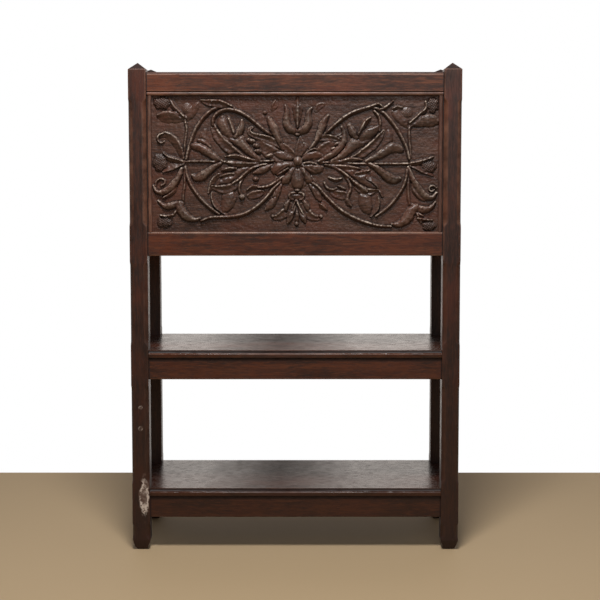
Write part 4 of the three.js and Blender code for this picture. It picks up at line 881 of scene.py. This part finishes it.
def carve_bud(u, v, half_x, half_z, rise, texture):
    """Carves one bud, berry or seed head."""
    x0, z0, a, b = u * step, v * step, half_x * step, half_z * step
    part, x, z = window(x0 - a - 4, x0 + a + 4, z0 - b - 4, z0 + b + 4)
    turn = np.arctan2(z - z0, x - x0)
    lumpy = 1 + (0.07 * np.sin(5 * turn + u) + 0.05 * np.sin(9 * turn + v)) * (texture == "seeds")
    share = np.hypot((x - x0) / a, (z - z0) / b) / lumpy
    shape = rise * relief * np.clip(1 - share ** 2, 0, 1) ** (0.9 if texture == "hatch" else 0.45)
    if texture == "seeds":
        # Punched with a round punch. The marks are about 5 mm apart, coarser than the real ones.
        shape += 1.5 * np.clip(np.cos(x * 1.35 + z * 0.3) * np.cos(z * 1.35 - x * 0.3), -0.6, 0.6) * (share < 0.97)
        punched[part] = np.maximum(punched[part], share < 1.08)
    elif texture == "hatch":
        shape += 0.9 * (np.abs(np.sin((x + z) * 0.8)) + np.abs(np.sin((x - z) * 0.8)) - 1.2) * (share < 0.92)
    elif texture == "boss":
        shape -= 0.9 * np.exp(-((share - 0.55) / 0.12) ** 2)
    lay_over(part, shape, (share - 1) * min(a, b))


def blur(values, radius):
    """Softens the grid over about a radius in grid steps."""
    kernel = np.exp(-np.linspace(-2, 2, 2 * radius + 1) ** 2)
    kernel /= kernel.sum()
    for axis in (0, 1):
        padded = np.pad(values, [(radius, radius) if a == axis else (0, 0) for a in (0, 1)], mode="edge")
        values = sum(k * np.take(padded, range(i, i + values.shape[axis]), axis=axis) for i, k in enumerate(kernel))
    return values


for row in left_half + right_half + middle:
    carve_row(*row)
for row in buds:
    carve_bud(*row)
# Everything was finished from the gouge, so it keeps shallow facets. The ground was also matted with a
# punch, which leaves a fine tooth.
facets, tooth = (blur(hand.normal(0, 1, height.shape), radius) for radius in (7, 2))
on_form = np.clip(height / 2, 0, 1)
height += (0.1 + 0.14 * on_form) * facets / facets.std() + 0.14 * tooth / tooth.std() * (1 - 0.7 * on_form)
height = np.maximum(blur(height, 1), -2)
coarse = height[::fine, ::fine]
soft, near, dull = blur(coarse, 4), blur(coarse, 2), punched[::fine, ::fine]
# The high edges are rubbed pale, with a painted highlight on their upper sides. Painted shade
# darkens the undersides and hollows, and dirt stays in the seed heads.
underside = np.gradient(near, axis=0)
mottle = blur(hand.normal(0, 1, coarse.shape), 2)
mottle = np.clip(0.6 + 0.45 * mottle / mottle.std(), 0, 1)
wear = np.clip((coarse - near - 0.2) / 0.6, 0, 1) * np.clip(0.75 - 0.8 * underside, 0.1, 1)
wear = wear + 0.2 * np.clip((coarse - 3.5) / 3, 0, 1)
wear = wear * mottle * np.clip(coarse / 3, 0, 1) * (1 - 0.8 * dull)
grime = np.clip((soft - coarse - 0.25) / 1.3, 0, 1) + 0.45 * np.clip(underside - 0.15, 0, 1) + 0.3 * dull
grime = np.clip(grime, 0, 1)

panel_back = rail_set_back + panel_back_depth - stand_half_y
front = [
    (x / 1000, (ground_y - up) / 1000, (sight_middle_z + z) / 1000)
    for z, line in zip(grid_z[::fine], coarse) for x, up in zip(grid_x[::fine], line)
]
count = len(front)
corners = [
    (grid_x[i] / 1000, panel_back / 1000, (sight_middle_z + grid_z[j]) / 1000)
    for i, j in ((0, 0), (-1, 0), (-1, -1), (0, -1))
]
faces = []
for j in range(rows - 1):
    for i in range(columns - 1):
        a = j * columns + i
        faces.append((a, a + 1, a + columns + 1, a + columns))
edges = (
    list(range(columns)),
    list(range(columns - 1, rows * columns, columns)),
    list(range(rows * columns - 1, (rows - 1) * columns - 1, -1)),
    list(range((rows - 1) * columns, -1, -columns)),
)
for side, line in enumerate(edges):
    near, far = count + side, count + (side + 1) % 4
    faces.append((near, far, line[-1]))
    faces += [(near, second, first) for first, second in zip(line, line[1:])]
faces.append(tuple(count + side for side in range(4)))
carving_oak = waxed_oak("oak_carved_rubbed_painted_light", "X", "3b2720", "4c342a", "5a4035", "dccab9", gloss=0.36, wear_and_highlight_share=0.95)
marks = {"wear": [*wear.ravel(), 0, 0, 0, 0], "grime": [*grime.ravel(), 0, 0, 0, 0]}
finish_piece("carved_panel.dressed", front + corners, faces, marks, carving_oak, "carving", "carved_panel", 70)

# Floor, light and camera
# A plain pale studio floor that ends behind the stand, where the photograph's wall begins. A soft light
# hangs above the front and a weaker one stands further off. The white wall behind gives the sheen on the
# shelves, and pale walls light the ends.

floor_side, floor_front, floor_back = 6, -7, 0.44
floor_mesh = bpy.data.meshes.new("studio_floor")
floor_corners = [(-floor_side, floor_front, 0), (floor_side, floor_front, 0)]
floor_corners += [(floor_side, floor_back, 0), (-floor_side, floor_back, 0)]
floor_mesh.from_pydata(floor_corners, [], [(0, 1, 2, 3)])
floor = bpy.data.objects.new("studio_floor", floor_mesh)
bpy.context.scene.collection.objects.link(floor)
paint = bpy.data.materials.new("pale_studio_paint")
paint.use_nodes = True
paint_surface = paint.node_tree.nodes["Principled BSDF"]
paint_surface.inputs["Base Color"].default_value = srgb("b59c79")
paint_surface.inputs["Roughness"].default_value = 0.75
floor_mesh.materials.append(paint)
floor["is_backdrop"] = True

world = bpy.data.worlds.new("studio")
world.use_nodes = True
bpy.context.scene.world = world
sky = world.node_tree
sky.nodes.clear()
direction = add_node(sky, "ShaderNodeTexCoord", output="Generated")
across, back, up = (add_node(sky, "ShaderNodeSeparateXYZ", {0: direction}, axis) for axis in "XYZ")
wall = add_node(sky, "ShaderNodeValToRGB", {0: back, "stops": ((0.45, 0.0), (0.75, 1.0))})
wall_top = add_node(sky, "ShaderNodeValToRGB", {0: up, "stops": ((0.3, 1.0), (0.6, 0.0))})
white_wall = add_node(sky, "ShaderNodeMath", {"operation": "MULTIPLY", 0: wall, 1: wall_top})
across = add_node(sky, "ShaderNodeMath", {"operation": "ABSOLUTE", 0: across})
side_walls = add_node(sky, "ShaderNodeValToRGB", {0: across, "stops": ((0.5, 0.0), (0.9, 1.0))})
seen = add_node(sky, "ShaderNodeLightPath", output="Is Camera Ray")
room = (0.06, 0.057, 0.053, 1)
for share, light in ((side_walls, (0.26, 0.25, 0.235, 1)), (white_wall, (1.3, 1.2, 1.12, 1)), (seen, (1, 1, 1, 1))):
    room = add_node(sky, "ShaderNodeMix", {"data_type": "RGBA", 0: share, 6: room, 7: light}, 2)
backdrop = add_node(sky, "ShaderNodeBackground", {"Strength": 1.0, "Color": room})
add_node(sky, "ShaderNodeOutputWorld", {"Surface": backdrop})

for name, place, target, size, power in (
    ("key", (-0.06, -0.95, 2.05), (0, -0.1, 0.6), 0.42, 34),
    ("fill", (0.5, -2.4, 1.5), (0, 0, 0.7), 1.2, 10),
):
    lamp = bpy.data.lights.new(name, "AREA")
    lamp.shape = "SQUARE"
    lamp.size = size
    lamp.energy = power
    lamp_object = bpy.data.objects.new(name, lamp)
    bpy.context.scene.collection.objects.link(lamp_object)
    lamp_object.location = place
    lamp_object.rotation_euler = (Vector(target) - Vector(place)).to_track_quat("-Z", "Y").to_euler()

lens_px, picture_px, principal_row = 1289.7, 600, 260
pitch, roll, turn_left = 0.08047, -0.0005, 0.00225
eye = (0.01315, -2.3035, 0.6825)
camera_data = bpy.data.cameras.new("camera")
camera_data.sensor_width = 36
camera_data.lens = lens_px / picture_px * camera_data.sensor_width
camera_data.shift_y = -(picture_px / 2 - principal_row) / picture_px
camera = bpy.data.objects.new("camera", camera_data)
bpy.context.scene.collection.objects.link(camera)
aim = Matrix.Rotation(turn_left, 4, "Z") @ Matrix.Rotation(pi / 2 - pitch, 4, "X") @ Matrix.Rotation(roll, 4, "Z")
camera.matrix_world = Matrix.Translation(eye) @ aim
bpy.context.scene.camera = camera
bpy.context.scene.view_settings.view_transform = "Standard"

low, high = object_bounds()
